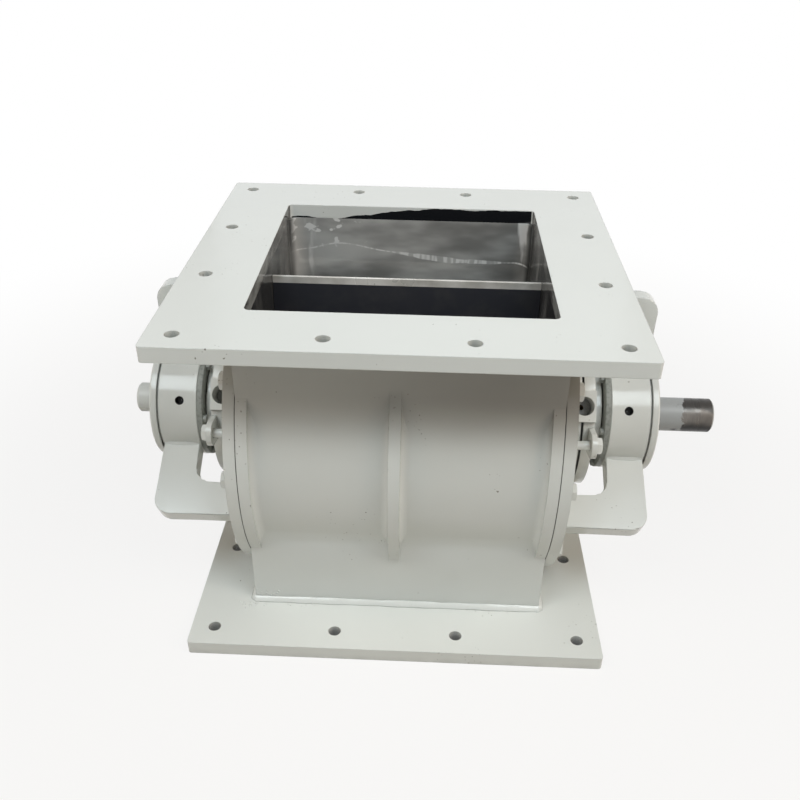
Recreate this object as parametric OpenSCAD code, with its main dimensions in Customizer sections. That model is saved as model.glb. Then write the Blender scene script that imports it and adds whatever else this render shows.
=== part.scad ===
// Rotary airlock valve: a drum with square inlet and outlet flanges, an
// eight-vane rotor and two outboard bearings carried on brackets.
// +X runs along the rotor shaft to the drive end, +Y to the rear, +Z up.
// The origin is the centre of the outlet flange's underside. Units are mm.

/* [Flanges] */
// Side of the square inlet and outlet flanges
flange_side = 460; // [440:1:500]
// Thickness of the square flange plates
flange_t = 16; // [10:1:20]
// Side of the square opening
port_side = 300; // [280:1:304]
// Corner radius of the opening in the flange plates
port_corner = 6; // [3:1:12]
// Bolt holes along one side of a flange, corners included
flange_holes = 4; // [3:1:6]
// Distance from a flange's edge to its outer row of bolt holes
flange_bolt_inset = 26; // [20:1:30]
// Diameter of the flange bolt holes
flange_hole_d = 14; // [10:0.5:18]
// Corner radius of the square flange plates
flange_corner = 4; // [1:0.5:8]
// Height of a duct between the drum's bore and its flange
neck_h = 16; // [15.5:0.5:24]

/* [Drum] */
// Inner diameter of the drum
bore_d = 320; // [316:1:324]
// Wall thickness of the drum
drum_wall = 15; // [12:1:18]
// Thickness of the drum's and ducts' side walls
side_wall = 15; // [13:1:22]
// Wall thickness of the ducts at front and rear
duct_wall = 7; // [6:0.5:9]
// Corner radius inside the ducts
duct_corner = 20; // [12:1:26]
// Radius of the blend between drum and duct
crease_r = 60; // [20:1:80]
// Height of the end rings and covers above the drum
ring_lip = 10; // [8:0.5:13]
// Thickness of the end rings
ring_t = 12; // [9:1:15]
// Height of the middle rib above the drum
rib_lip = 15; // [5:1:20]
// Thickness of the middle rib
rib_t = 12; // [8:1:16]
// Place of the middle rib along the shaft
rib_x = -4; // [-20:1:20]
// Radius where the rib and rings meet the drum
root_r = 8; // [4:1:10]
// Radius where the rib runs out on the duct
rib_foot_r = 25; // [10:1:40]
// Leg of the weld between the ducts and the flanges
weld_leg = 7; // [4:1:9]

/* [End covers] */
// Thickness of the end covers
cover_t = 12.2; // [10:0.1:16]
// Thickness of the cover gaskets
gasket_t = 0.8; // [0.5:0.1:2]
// Number of bolts in one end cover
cover_bolts = 10; // [8:1:12]
// Distance of the cover's bolt circle from the cover's edge
cover_bolt_inset = 15; // [13:0.5:17]
// Angle of the first cover bolt above the front
cover_bolt_angle = 2; // [0:0.5:6]
// Thread diameter of the cover and seal bolts
bolt_d = 10; // [8:1:10]
// Width across flats of the bolt heads
bolt_af = 17; // [13:1:18]
// Height of the bolt heads
bolt_head_h = 6.4; // [5:0.1:7]
// Reach of the cover bolts into the drum
bolt_reach = 10; // [8:0.5:11]
// Flats of the covers stand off the square flanges by
flat_gap = 0.5; // [0.2:0.1:2]

/* [Shaft seals] */
// Diameter of the seal housings
seal_d = 172; // [164:1:176]
// Length of the seal housings outside the cover
seal_len = 35; // [33:0.5:38]
// Diameter of the seal housing's spigot in the cover
seal_spigot_d = 120; // [110:1:126]
// Place of the groove from the cover's face
groove_x = 21.6; // [18:0.1:23]
// Width of the groove
groove_w = 2.7; // [2:0.1:4]
// Depth of the groove
groove_depth = 8; // [4:0.5:12]
// Angle of the purge port above the front
port_angle = 35; // [30:1:40]
// Diameter of the purge port's thread
purge_d = 21; // [14:0.5:22]
// Place of the purge port from the cover's face
purge_x = 22.5; // [21:0.1:23]
// Radius to the flat face of the purge boss
purge_boss_r = 91; // [90:1:96]
// Width of the purge boss along the shaft
purge_boss_w = 27; // [25:0.5:29]
// Height of the purge boss around the housing
purge_boss_h = 35; // [28:1:40]
// Depth of the purge port's thread
purge_depth = 26; // [18:1:30]
// Radius to the seal housing bolts
ear_r = 102; // [99:0.5:106]
// Angle of the first ear above the front
ear_angle = 10; // [4:1:12]
// Width of the ears
ear_w = 28; // [24:1:32]
// Thickness of the ears
ear_t = 6; // [5:0.5:8]
// Thickness of the soft packing
packing_w = 10; // [8:0.5:12]
// Length of one packing ring
packing_len = 8; // [6:0.5:8]
// Number of packing rings
packing_count = 3; // [2:1:3]
// Length of the lantern ring
lantern_len = 10; // [8:0.5:12]
// Diameter of the gland follower's collar
follower_d = 103; // [90:1:110]

/* [Bearings] */
// Distance between the seal housing and the inner cap
follower_len = 14; // [10:0.5:18]
// Outer diameter of the bearing housings and caps
bearing_house_d = 176; // [168:1:180]
// Outer diameter of the bearings
bearing_d = 110; // [108:1:112]
// Width of the bearings
bearing_w = 40; // [38:1:44]
// Diameter of the balls
ball_d = 16; // [14:0.5:16]
// Number of balls in one row
balls = 13; // [10:1:13]
// Distance between the two rows of balls
row_gap = 19; // [18:0.5:20]
// Thickness of the inner caps
inner_cap_t = 4; // [3.5:0.5:6]
// Thickness of the outer caps
outer_cap_t = 10; // [9:0.5:14]
// Depth of the caps' spigots in the housing
cap_spigot = 1.5; // [1:0.25:3]
// Thickness of the shaft lip seals
lip_t = 7; // [5:0.5:8]
// Diameter of the grease holes
grease_d = 10; // [6:0.5:12]
// Depth of the grease holes' thread
grease_depth = 28; // [16:1:30]
// Angle of the grease holes above the front
grease_angle = 32; // [26:1:36]
// Place of the grease holes inboard of the bearing's centre
grease_dx = 3; // [0:0.5:4]
// Radius to the cap screws
cap_screw_r = 72; // [69:0.5:76]
// Thread diameter of the outer cap screws
cap_screw_d = 8; // [6:1:8]
// Thread diameter of the inner cap screws
inner_screw_d = 6; // [4:1:6]
// Angle of the first inner cap screw above the front
inner_screw_angle = 70; // [60:1:80]

/* [Brackets] */
// Top of the front plates below the shaft axis
plate_drop = 7; // [4:1:12]
// Thickness of the front plates
plate_t = 10; // [8:1:12]
// Reach of the front plates from the shaft axis
plate_reach = 212; // [200:1:225]
// Width of the front plates at their front edge, from the cover
plate_front_w = 76; // [70:1:84]
// Width of the front plates beside the bearing housing
plate_back_w = 92; // [88:1:94]
// Corner radius of the bracket plates
plate_corner = 18; // [8:1:24]
// Width of the cut-out in the bracket plates
cutout_w = 51; // [46:1:53]
// Reach of the front cut-out from the shaft axis
cutout_reach = 155; // [140:1:160]
// Corner radius of the cut-outs
cutout_corner = 12; // [4:1:20]
// Width of the rear plates from the cover
rear_w = 127; // [112:1:140]
// Half the height of the rear plates
rear_half_h = 127; // [115:1:130]
// Thickness of the rear plates
rear_t = 18; // [10:1:20]
// Front face of the rear plates behind the shaft axis
rear_y = 78; // [74:1:82]
// Half the height of the rear cut-outs
rear_cutout_half_h = 85; // [70:1:90]

/* [Rotor] */
// Number of vanes
vanes = 8; // [8:1:8]
// Thickness of the vanes
vane_t = 8; // [5:0.5:10]
// Bevel behind the vane tips
vane_bevel = 3; // [1:0.5:4]
// Angle of the first vane behind the vertical
vane_phase = 3.7; // [0:0.1:10]
// Diameter of the hub
hub_d = 100; // [90:1:120]
// Diameter of the shaft inside the hub
core_d = 70; // [62:1:76]
// Diameter of the shaft at the seals
seal_shaft_d = 55; // [54:0.5:56]
// Diameter of the shaft at the bearings
journal_d = 50; // [48:0.5:50]
// Diameter of the drive end
drive_d = 40; // [36:0.5:46]
// Drive end's face from the middle of the drum
drive_end_x = 365; // [350:1:400]
// Diameter of the tail end
tail_d = 35; // [30:0.5:40]
// Tail end's face from the middle of the drum
tail_end_x = 320; // [300:1:340]
// Height of the step from each shaft end up to its seal land
land_step = 1; // [0.5:0.5:2]
// Length of each seal land that shows past its cap
land_run = 2; // [1:0.5:4]
// Chamfer on the shaft ends
shaft_chamfer = 2; // [1:0.5:4]
// Width of the keyway
key_w = 12; // [10:1:14]
// Depth of the keyway
key_depth = 5; // [4:0.5:6]
// Length of the keyway
key_len = 56; // [40:1:64]
// Distance of the keyway from the drive end's face
key_inset = 6; // [3:1:10]
// Angle of the keyway above the front
key_angle = 215; // [180:1:240]

/* [Clearances] */
// Gap between the vane tips and the drum
tip_gap = 0.4; // [0.2:0.05:0.8]
// Gap between the rotor's ends and the covers
side_gap = 0.4; // [0.3:0.05:1]
// Radial clearance of a located spigot or seat
seat_gap = 0.05; // [0.02:0.01:0.1]
// Radial clearance of a packing or lip seal on the shaft
running_gap = 0.08; // [0.05:0.01:0.1]
// Radial clearance of the shaft in a free hole
free_gap = 0.6; // [0.4:0.1:1]
// Radial clearance of a bolt in its hole
bolt_gap = 0.5; // [0.3:0.1:1]
// Radial clearance of a bolt in its thread
thread_gap = 0.05; // [0.02:0.01:0.1]
// Gap between the balls and the raceways
race_gap = 0.3; // [0.2:0.05:0.4]

/* [Hidden] */

round_fn = 96;
ball_fn = 48;
eps = 1;

// Heights
overall_h = bore_d + 2 * (neck_h + flange_t);
axis_z = overall_h / 2;
body_z0 = flange_t;
body_z1 = overall_h - flange_t;

// Drum and ducts
bore_r = bore_d / 2;
drum_r = bore_r + drum_wall;
drum_len = port_side + 2 * side_wall;
half_len = drum_len / 2;
flange_bolt_side = flange_side - 2 * flange_bolt_inset;
port_half = port_side / 2;
duct_half_y = port_half + duct_wall;
ring_r = drum_r + ring_lip;
rib_r = drum_r + rib_lip;
crease_depth = 6;
cover_bolt_r = ring_r - cover_bolt_inset;
thread_relief = 1;

// Places along the shaft, for the drive side
cover_x = half_len + gasket_t;
cover_face = cover_x + cover_t;
seal_face = cover_face + seal_len;
inner_cap_x = seal_face + follower_len;
house_x = inner_cap_x + inner_cap_t;
bearing_x = house_x + cap_spigot;
bearing_mid = bearing_x + bearing_w / 2;
bearing_end = bearing_x + bearing_w;
house_end = bearing_end + cap_spigot;
cap_face = house_end + outer_cap_t;
lip_x = cap_face - lip_t;

// Shaft, seals and bearings
seal_r = seal_shaft_d / 2;
free_r = seal_r + free_gap;
packing_r = seal_r + packing_w;
lantern_x = cover_face + purge_x - lantern_len / 2;
packing_x = lantern_x - packing_count * packing_len;
nose_x = lantern_x + lantern_len;
journal_r = journal_d / 2;
house_bore_r = bearing_d / 2;
ball_r = ball_d / 2;
pitch_offset = 0.5;
pitch_r = (journal_r + house_bore_r) / 2 - pitch_offset;
cap_rim = 9;
cap_recess_r = house_bore_r - cap_rim;
race_depth = 5;
race_shoulder_r = pitch_r - race_depth;
race_sphere_r = norm([row_gap / 2, pitch_r]) + ball_r + race_gap;
cage_t = 4;
cage_in = pitch_r - cage_t / 2;
cage_out = pitch_r + cage_t / 2;
cage_rim = 2.5;
cage_half = row_gap / 2 + cage_rim;
lube_groove_w = 10;
lube_groove_depth = 1.5;
lube_hole_d = 4;
purge_feed_d = 6;
circlip_w = 2;
circlip_groove = 1.5;
circlip_lip = 5;
circlip_opening = 8;
circlip_angle = 120;
circlip_x = bearing_end;
circlip_land = 2;
journal_end = circlip_x + circlip_w + circlip_land;
land_end = cap_face + land_run;
drive_land_r = drive_d / 2 + land_step;
tail_land_r = tail_d / 2 + land_step;
lip_radial = 8.5;
lip_skin = 2;
lip_edge = 2.5;
lip_waist = 1.2;
bolt_r = bolt_d / 2;
bolt_corner_r = bolt_af / cos(30) / 2;
bolt_chamfer = 0.8;
cap_head_r = 0.85 * cap_screw_d;
cap_socket_r = 0.4 * cap_screw_d;
cap_head_sink = 0.5;
inner_screw_reach = 2 * inner_screw_d;
outer_screw_reach = 2 * cap_screw_d;

// Rotor
rotor_half = port_half - side_gap;
tip_r = bore_r - tip_gap;
vane_pitch = 360 / vanes;

// Brackets
plate_top = axis_z - plate_drop;
house_r = bearing_house_d / 2;

paint = [0.83, 0.85, 0.85];
shade_paint = [0.72, 0.73, 0.70];
steel = [0.45, 0.45, 0.46];
dark_steel = [0.24, 0.23, 0.23];
packing_colour = [0.55, 0.50, 0.38];
rubber = [0.10, 0.10, 0.10];

// ---- helpers -------------------------------------------------------------

// A cylinder along X round the shaft axis
module xcyl(r, x0, x1) {
  translate([x0, 0, axis_z]) rotate([0, 90, 0]) cylinder(r = r, h = x1 - x0, $fn = round_fn);
}

// A tube along X round the shaft axis
module xtube(r_out, r_in, x0, x1) {
  difference() {
    xcyl(r_out, x0, x1);
    xcyl(r_in, x0 - eps, x1 + eps);
  }
}

// A profile (radius, x) turned round the shaft axis
module xturn() {
  translate([0, 0, axis_z]) rotate([0, 90, 0]) rotate_extrude($fn = round_fn) children();
}

// A profile drawn in (y, z) and extruded along X
module xprism(x0, x1) {
  translate([x0, 0, 0]) rotate([90, 0, 90]) linear_extrude(x1 - x0) children();
}

// Children turned so that local -Y points a degrees above the front
module polar(a) {
  translate([0, 0, axis_z]) rotate([-a, 0, 0]) children();
}

// A hole or shank along X at radius r and a degrees above the front
module xpin(r_place, a, r, x0, x1, fn = 32) {
  polar(a) translate([x0, -r_place, 0]) rotate([0, 90, 0]) cylinder(r = r, h = x1 - x0, $fn = fn);
}

module rounded_square(side_x, side_y, r) {
  difference() {
    square([side_x, side_y], center = true);
    for (sx = [-1, 1], sy = [-1, 1])
      translate([sx * (side_x / 2 - r), sy * (side_y / 2 - r)]) difference() {
        translate([sx > 0 ? 0 : -r - eps, sy > 0 ? 0 : -r - eps]) square(r + eps);
        circle(r = r, $fn = 48);
      }
  }
}

module tail_side() {
  mirror([1, 0, 0]) children();
}

// ---- drum, ducts and flanges ---------------------------------------------

module flange_plate(z0) {
  pitch = flange_bolt_side / (flange_holes - 1);
  translate([0, 0, z0]) difference() {
    linear_extrude(flange_t) difference() {
      rounded_square(flange_side, flange_side, flange_corner);
      rounded_square(port_side, port_side, port_corner);
    }
    for (i = [0 : flange_holes - 1], j = [0 : flange_holes - 1])
      if (i == 0 || j == 0 || i == flange_holes - 1 || j == flange_holes - 1)
        translate([i * pitch - flange_bolt_side / 2, j * pitch - flange_bolt_side / 2, -eps])
          cylinder(d = flange_hole_d, h = flange_t + 2 * eps, $fn = 32);
  }
}

module inlet_flange() {
  color(paint) flange_plate(body_z1);
}

module outlet_flange() {
  color(paint) flange_plate(0);
}

// Fillet weld round a duct, on the plate at the bottom
module duct_weld() {
  wx = half_len + weld_leg;
  wy = duct_half_y + weld_leg;
  difference() {
    translate([-wx, -wy, 0]) cube([2 * wx, 2 * wy, weld_leg]);
    translate([-half_len, -duct_half_y, -eps]) cube([drum_len, 2 * duct_half_y, weld_leg + 2 * eps]);
    for (s = [-1, 1]) {
      translate([-wx - eps, s * wy, weld_leg]) rotate([0, 90, 0])
        cylinder(r = weld_leg, h = 2 * (wx + eps), $fn = 48);
      translate([s * wx, -wy - eps, weld_leg]) rotate([-90, 0, 0])
        cylinder(r = weld_leg, h = 2 * (wy + eps), $fn = 48);
      // room for the end cover
      translate([s > 0 ? half_len : -half_len - 2 * weld_leg, 0, axis_z - body_z0]) rotate([0, 90, 0])
        cylinder(r = ring_r + eps, h = 2 * weld_leg, $fn = round_fn);
    }
  }
}

module outlet_weld() {
  color(paint) translate([0, 0, body_z0]) duct_weld();
}

module inlet_weld() {
  color(paint) translate([0, 0, body_z1]) mirror([0, 0, 1]) duct_weld();
}

// Blend of radius rf between a circle of radius r and the duct's wall
module crease(r, rf) {
  cy = duct_half_y + rf;
  cz = sqrt(pow(r + rf, 2) - pow(cy, 2));
  k = r / (r + rf);
  difference() {
    polygon([[duct_half_y, cz], [cy * k, cz * k], [duct_half_y - crease_depth, cz * (1 + k) / 2]]);
    translate([cy, cz]) circle(r = rf, $fn = round_fn);
  }
}

// A circle of radius r blended into the ducts, drawn about the shaft axis
module blended_outline(r, rf) {
  circle(r = r, $fn = round_fn);
  for (my = [0, 1], mz = [0, 1]) mirror([my, 0]) mirror([0, mz]) crease(r, rf);
}

// Concave root of radius root_r beside a rib or ring, standing on the drum
module root(x, toward) {
  xturn() translate([drum_r, x]) difference() {
    translate([-eps, toward > 0 ? 0 : -root_r]) square([root_r + eps, root_r]);
    translate([root_r, toward * root_r]) circle(r = root_r, $fn = 48);
  }
}

module cover_holes(r, x0, x1) {
  for (i = [0 : cover_bolts - 1])
    xpin(cover_bolt_r, cover_bolt_angle + i * 360 / cover_bolts, r, x0, x1);
}

module housing_body() {
  duct_h = body_z1 - body_z0;
  color(shade_paint) difference() {
    intersection() {
      union() {
        xprism(-half_len, half_len) translate([0, axis_z]) {
          blended_outline(drum_r, crease_r);
          square([2 * duct_half_y, duct_h], center = true);
        }
        for (s = [0, 1]) mirror([s, 0, 0]) {
          xcyl(ring_r, half_len - ring_t, half_len);
          root(half_len - ring_t, -1);
        }
        xprism(rib_x - rib_t / 2, rib_x + rib_t / 2) translate([0, axis_z])
          blended_outline(rib_r, rib_foot_r);
        root(rib_x + rib_t / 2, 1);
        root(rib_x - rib_t / 2, -1);
      }
      translate([0, 0, axis_z]) cube([drum_len, 4 * rib_r, duct_h], center = true);
    }
    xcyl(bore_r, -half_len - eps, half_len + eps);
    translate([0, 0, body_z0 - eps]) linear_extrude(duct_h + 2 * eps)
      rounded_square(port_side, port_side, duct_corner);
    for (s = [0, 1]) mirror([s, 0, 0])
      cover_holes(bolt_r + thread_gap, half_len - bolt_reach - thread_relief, half_len + eps);
  }
}

// ---- end covers and shaft seals, drawn for the drive side -----------------

// Keeps what lies between the two square flanges
module between_flanges() {
  intersection() {
    children();
    translate([0, 0, axis_z])
      cube([4 * drive_end_x, 2 * flange_side, body_z1 - body_z0 - 2 * flat_gap], center = true);
  }
}

module cover_gasket() {
  color(rubber) difference() {
    between_flanges() xtube(ring_r - eps, bore_r, half_len, cover_x);
    cover_holes(bolt_r + bolt_gap, half_len - eps, cover_x + eps);
  }
}

module end_cover() {
  color(paint) difference() {
    union() {
      between_flanges() xcyl(ring_r, cover_x, cover_face);
      xcyl(bore_r - seat_gap, port_half, cover_x);
    }
    xcyl(seal_spigot_d / 2, port_half - eps, cover_face + eps);
    cover_holes(bolt_r + bolt_gap, cover_x - eps, cover_face + eps);
    for (a = [0, 180])
      xpin(ear_r, ear_angle + a, bolt_r + thread_gap, cover_x, cover_face + eps);
  }
}

// A hexagon bolt along X with its head's bearing face at x
module hex_bolt(r_place, a, x, reach) {
  xpin(r_place, a, bolt_r, x - reach, x);
  polar(a) translate([x, -r_place, 0]) rotate([0, 90, 0]) intersection() {
    cylinder(r = bolt_corner_r, h = bolt_head_h, $fn = 6);
    // rounded-off corners of the head
    rotate_extrude($fn = 48) polygon([[0, 0], [bolt_corner_r, 0],
      [bolt_corner_r, bolt_head_h - bolt_chamfer], [bolt_af / 2 - bolt_chamfer / 2, bolt_head_h],
      [0, bolt_head_h]]);
  }
}

module cover_bolt_set() {
  color(paint) for (i = [0 : cover_bolts - 1])
    hex_bolt(cover_bolt_r, cover_bolt_angle + i * 360 / cover_bolts, cover_face,
      cover_t + gasket_t + bolt_reach);
}

module seal_bolt_set() {
  color(paint) for (a = [0, 180])
    hex_bolt(ear_r, ear_angle + a, seal_face, seal_len + cover_t - thread_relief);
}

module seal_ear(a) {
  polar(a) translate([seal_face - ear_t, 0, 0]) rotate([90, 0, 90]) linear_extrude(ear_t) {
    translate([-ear_r, 0]) circle(d = ear_w, $fn = 48);
    translate([-ear_r, -ear_w / 2]) square([ear_r - seal_spigot_d / 2, ear_w]);
  }
}

module purge_port() {
  x = cover_face + purge_x;
  polar(port_angle) {
    translate([x, -purge_boss_r - eps, 0]) rotate([-90, 0, 0])
      cylinder(d = purge_d, h = purge_depth + eps, $fn = 48);
    translate([x, -purge_boss_r, 0]) rotate([-90, 0, 0])
      cylinder(d = purge_feed_d, h = purge_boss_r - packing_r + eps, $fn = 32);
  }
}

module seal_housing() {
  color(paint) difference() {
    union() {
      difference() {
        xcyl(seal_d / 2, cover_face, seal_face);
        xtube(seal_d, seal_d / 2 - groove_depth, cover_face + groove_x - groove_w / 2,
          cover_face + groove_x + groove_w / 2);
      }
      xcyl(seal_spigot_d / 2 - seat_gap, port_half, cover_face + eps);
      polar(port_angle)
        translate([seal_face - purge_boss_w, -purge_boss_r, -purge_boss_h / 2])
        cube([purge_boss_w, purge_boss_r - seal_spigot_d / 2, purge_boss_h]);
      for (a = [0, 180]) seal_ear(ear_angle + a);
    }
    xcyl(free_r, port_half - eps, packing_x + eps);
    xcyl(packing_r, packing_x, seal_face + eps);
    purge_port();
    for (a = [0, 180])
      xpin(ear_r, ear_angle + a, bolt_r + bolt_gap, seal_face - ear_t - eps, seal_face + eps);
  }
}

module packing_set() {
  color(packing_colour) for (i = [0 : packing_count - 1])
    xtube(packing_r - seat_gap, seal_r + running_gap, packing_x + i * packing_len,
      packing_x + (i + 1) * packing_len);
}

module lantern_ring() {
  waist = packing_w / 3;
  rim = lantern_len / 5;
  color(steel) difference() {
    xtube(packing_r - seat_gap, seal_r + race_gap, lantern_x, nose_x);
    // channels outside and inside, joined by radial holes
    xtube(packing_r + eps, packing_r - waist, lantern_x + rim, nose_x - rim);
    xcyl(seal_r + waist, lantern_x + rim, nose_x - rim);
    for (a = [0 : 60 : 300]) polar(port_angle + a)
      translate([(lantern_x + nose_x) / 2, -packing_r - eps, 0]) rotate([-90, 0, 0])
      cylinder(d = lube_hole_d, h = packing_w + eps, $fn = 24);
  }
}

module gland_follower() {
  color(paint) difference() {
    union() {
      xcyl(packing_r - seat_gap, nose_x, seal_face + eps);
      xcyl(follower_d / 2, seal_face, inner_cap_x);
    }
    xcyl(free_r, nose_x - eps, inner_cap_x + eps);
  }
}

// ---- bearings, drawn for the drive side ------------------------------------

module inner_cap_screw_places(r, x0, x1) {
  for (a = [0 : 90 : 270]) xpin(cap_screw_r, a + inner_screw_angle, r, x0, x1);
}

module outer_cap_screw_places(r, x0, x1) {
  for (a = [0 : 90 : 270]) xpin(cap_screw_r, a, r, x0, x1);
}

// Countersink for the inner cap screws, at full size or grown by a gap
module inner_screw_heads(gap) {
  head_h = inner_screw_d / 2;
  for (a = [0 : 90 : 270]) polar(a + inner_screw_angle)
    translate([inner_cap_x - gap, -cap_screw_r, 0]) rotate([0, 90, 0]) rotate_extrude($fn = 32)
    polygon([[0, 0], [inner_screw_d + gap, 0], [inner_screw_d / 2 + gap, head_h + gap],
      [0, head_h + gap]]);
}

module inner_cap() {
  color(shade_paint) difference() {
    union() {
      xcyl(house_r, inner_cap_x, house_x);
      xcyl(house_bore_r - seat_gap, house_x - eps, bearing_x);
    }
    xcyl(free_r, inner_cap_x - eps, bearing_x + eps);
    xcyl(cap_recess_r, inner_cap_x + inner_cap_t / 2, bearing_x + eps);
    inner_cap_screw_places(inner_screw_d / 2 + bolt_gap, inner_cap_x - eps, house_x + eps);
    inner_screw_heads(thread_gap);
  }
}

module inner_cap_screw_set() {
  color(steel) {
    inner_cap_screw_places(inner_screw_d / 2, inner_cap_x + eps, house_x + inner_screw_reach);
    inner_screw_heads(0);
  }
}

// A grease hole: a thread from outside and a small feed hole to the bearing
module grease_hole() {
  polar(grease_angle) translate([bearing_mid - grease_dx, -house_r, 0]) rotate([-90, 0, 0]) {
    translate([0, 0, -eps]) cylinder(d = grease_d, h = grease_depth + eps, $fn = 32);
    cylinder(d = lube_hole_d, h = house_r - house_bore_r + eps, $fn = 24);
  }
}

module bearing_housing() {
  color(paint) difference() {
    xtube(house_r, house_bore_r, house_x, house_end);
    grease_hole();
    inner_cap_screw_places(inner_screw_d / 2 + thread_gap, house_x - eps,
      house_x + inner_screw_reach + eps);
    outer_cap_screw_places(cap_screw_d / 2 + thread_gap, house_end - outer_screw_reach - eps,
      house_end + eps);
  }
}

module bearing_outer_ring() {
  color(steel) difference() {
    xcyl(house_bore_r - seat_gap, bearing_x, bearing_end);
    translate([bearing_mid, 0, axis_z]) sphere(r = race_sphere_r, $fn = round_fn);
    xtube(bearing_d, house_bore_r - lube_groove_depth, bearing_mid - lube_groove_w / 2,
      bearing_mid + lube_groove_w / 2);
    for (a = [0 : 120 : 240]) polar(grease_angle + a)
      translate([bearing_mid, -bearing_d, 0]) rotate([-90, 0, 0])
      cylinder(d = lube_hole_d, h = bearing_d - pitch_r, $fn = 24);
  }
}

module bearing_inner_ring() {
  color(steel) difference() {
    xtube(race_shoulder_r, journal_r, bearing_x, bearing_end);
    for (s = [-1, 1]) xturn() translate([pitch_r, bearing_mid + s * row_gap / 2])
      circle(r = ball_r + race_gap, $fn = ball_fn);
  }
}

// Children at each ball's place; the rows are half a pitch apart
module ball_places() {
  for (row = [-1, 1], i = [0 : balls - 1])
    polar((i + row / 4) * 360 / balls)
      translate([bearing_mid + row * row_gap / 2, -pitch_r, 0]) children();
}

module bearing_balls() {
  color(steel) ball_places() sphere(r = ball_r, $fn = ball_fn);
}

module bearing_cage() {
  color("darkgoldenrod") difference() {
    xtube(cage_out, cage_in, bearing_mid - cage_half, bearing_mid + cage_half);
    // pockets drilled from outside
    ball_places() rotate([90, 0, 0])
      cylinder(r = ball_r + race_gap, h = 2 * ball_r, center = true, $fn = 32);
  }
}

module circlip() {
  color(dark_steel) difference() {
    xtube(journal_r + circlip_lip, journal_r - circlip_groove + seat_gap, circlip_x + seat_gap,
      circlip_x + circlip_w);
    // open ends of the ring
    polar(circlip_angle) translate([circlip_x - eps, -2 * journal_r, -circlip_opening / 2])
      cube([circlip_w + 2 * eps, 2 * journal_r, circlip_opening]);
  }
}

module outer_cap(shaft_r) {
  color(paint) difference() {
    union() {
      xcyl(house_r, house_end, cap_face);
      xcyl(house_bore_r - seat_gap, bearing_end, house_end + eps);
    }
    xcyl(shaft_r + lip_radial, bearing_end - eps, cap_face + eps);
    xcyl(cap_recess_r, bearing_end - eps, lip_x - eps);
    outer_cap_screw_places(cap_screw_d / 2 + bolt_gap, bearing_end - eps, cap_face + eps);
    outer_cap_screw_places(cap_head_r + thread_gap, cap_face - cap_screw_d, cap_face + eps);
  }
}

// Socket head screws sunk in the cap
module outer_cap_screw_set() {
  color(dark_steel) difference() {
    union() {
      outer_cap_screw_places(cap_screw_d / 2, house_end - outer_screw_reach, cap_face - cap_screw_d);
      outer_cap_screw_places(cap_head_r, cap_face - cap_screw_d, cap_face - cap_head_sink);
    }
    for (a = [0 : 90 : 270])
      xpin(cap_screw_r, a, cap_socket_r, cap_face - cap_screw_d / 2, cap_face, 6);
  }
}

module lip_seal(shaft_r) {
  r_out = shaft_r + lip_radial - seat_gap;
  color(rubber) difference() {
    xtube(r_out, shaft_r + running_gap, lip_x, cap_face);
    // hollow back and waist of the lip
    xtube(r_out - lip_skin, shaft_r + lip_edge, lip_x - eps, cap_face - lip_edge);
    xcyl(shaft_r + lip_waist, cap_face - lip_skin, cap_face + eps);
  }
}

// ---- brackets, drawn for the drive side ------------------------------------

// Radius r on the outline's outer corner at p, between two directions
module corner_cut(p, r, a) {
  translate(p) rotate(a) difference() {
    translate([-r, -r]) square(r + eps);
    translate([-r, -r]) circle(r = r, $fn = 48);
  }
}

module front_bracket() {
  front_x = cover_face + plate_front_w;
  back_x = cover_face + plate_back_w;
  taper = atan((plate_back_w - plate_front_w) / (plate_reach - house_r));
  cut_x = cover_face + cutout_w;
  color(paint) difference() {
    translate([0, 0, plate_top - plate_t]) linear_extrude(plate_t) difference() {
      polygon([[cover_face, -plate_reach], [front_x, -plate_reach], [back_x, -house_r],
        [back_x, -house_r / 2], [cover_face, -house_r / 2]]);
      // outer front corner, laid against the tapered edge
      translate([front_x, -plate_reach]) plate_corner_cut(90 - taper);
      // cut-out round the shaft seal, open to the rear
      difference() {
        translate([cover_face - eps, -cutout_reach]) square([cutout_w + eps, cutout_reach]);
        translate([cut_x, -cutout_reach]) mirror([0, 1]) corner_cut([0, 0], cutout_corner, 0);
      }
    }
    xcyl(house_r, inner_cap_x, cap_face + eps);
  }
}

// Rounds a convex corner whose edges run along -X and at angle a
module plate_corner_cut(a) {
  reach = plate_corner / tan((180 - a) / 2);
  difference() {
    translate([-reach, -eps]) square([2 * reach, plate_corner]);
    translate([-reach, plate_corner]) circle(r = plate_corner, $fn = 64);
    translate([-3 * reach, -eps]) square([2 * reach, plate_corner + 2 * eps]);
  }
}

module rear_bracket() {
  x1 = cover_face + rear_w;
  color(paint) difference() {
    translate([0, rear_y + rear_t, axis_z]) rotate([90, 0, 0]) linear_extrude(rear_t) difference() {
      translate([cover_face, -rear_half_h]) square([rear_w, 2 * rear_half_h]);
      translate([x1, rear_half_h]) corner_cut([0, 0], plate_corner, 0);
      translate([x1, -rear_half_h]) mirror([0, 1]) corner_cut([0, 0], plate_corner, 0);
      difference() {
        translate([cover_face - eps, -rear_cutout_half_h])
          square([cutout_w + eps, 2 * rear_cutout_half_h]);
        for (m = [0, 1]) mirror([0, m]) translate([cover_face + cutout_w, rear_cutout_half_h])
          corner_cut([0, 0], cutout_corner, 0);
      }
    }
    xcyl(house_r, inner_cap_x, x1 + eps);
  }
}

// ---- rotor -----------------------------------------------------------------

module shaft_end(r, x0, x1) {
  xcyl(r, x0, x1 - shaft_chamfer);
  xturn() polygon([[0, x1 - shaft_chamfer], [r, x1 - shaft_chamfer],
    [r - shaft_chamfer, x1], [0, x1]]);
}

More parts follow.
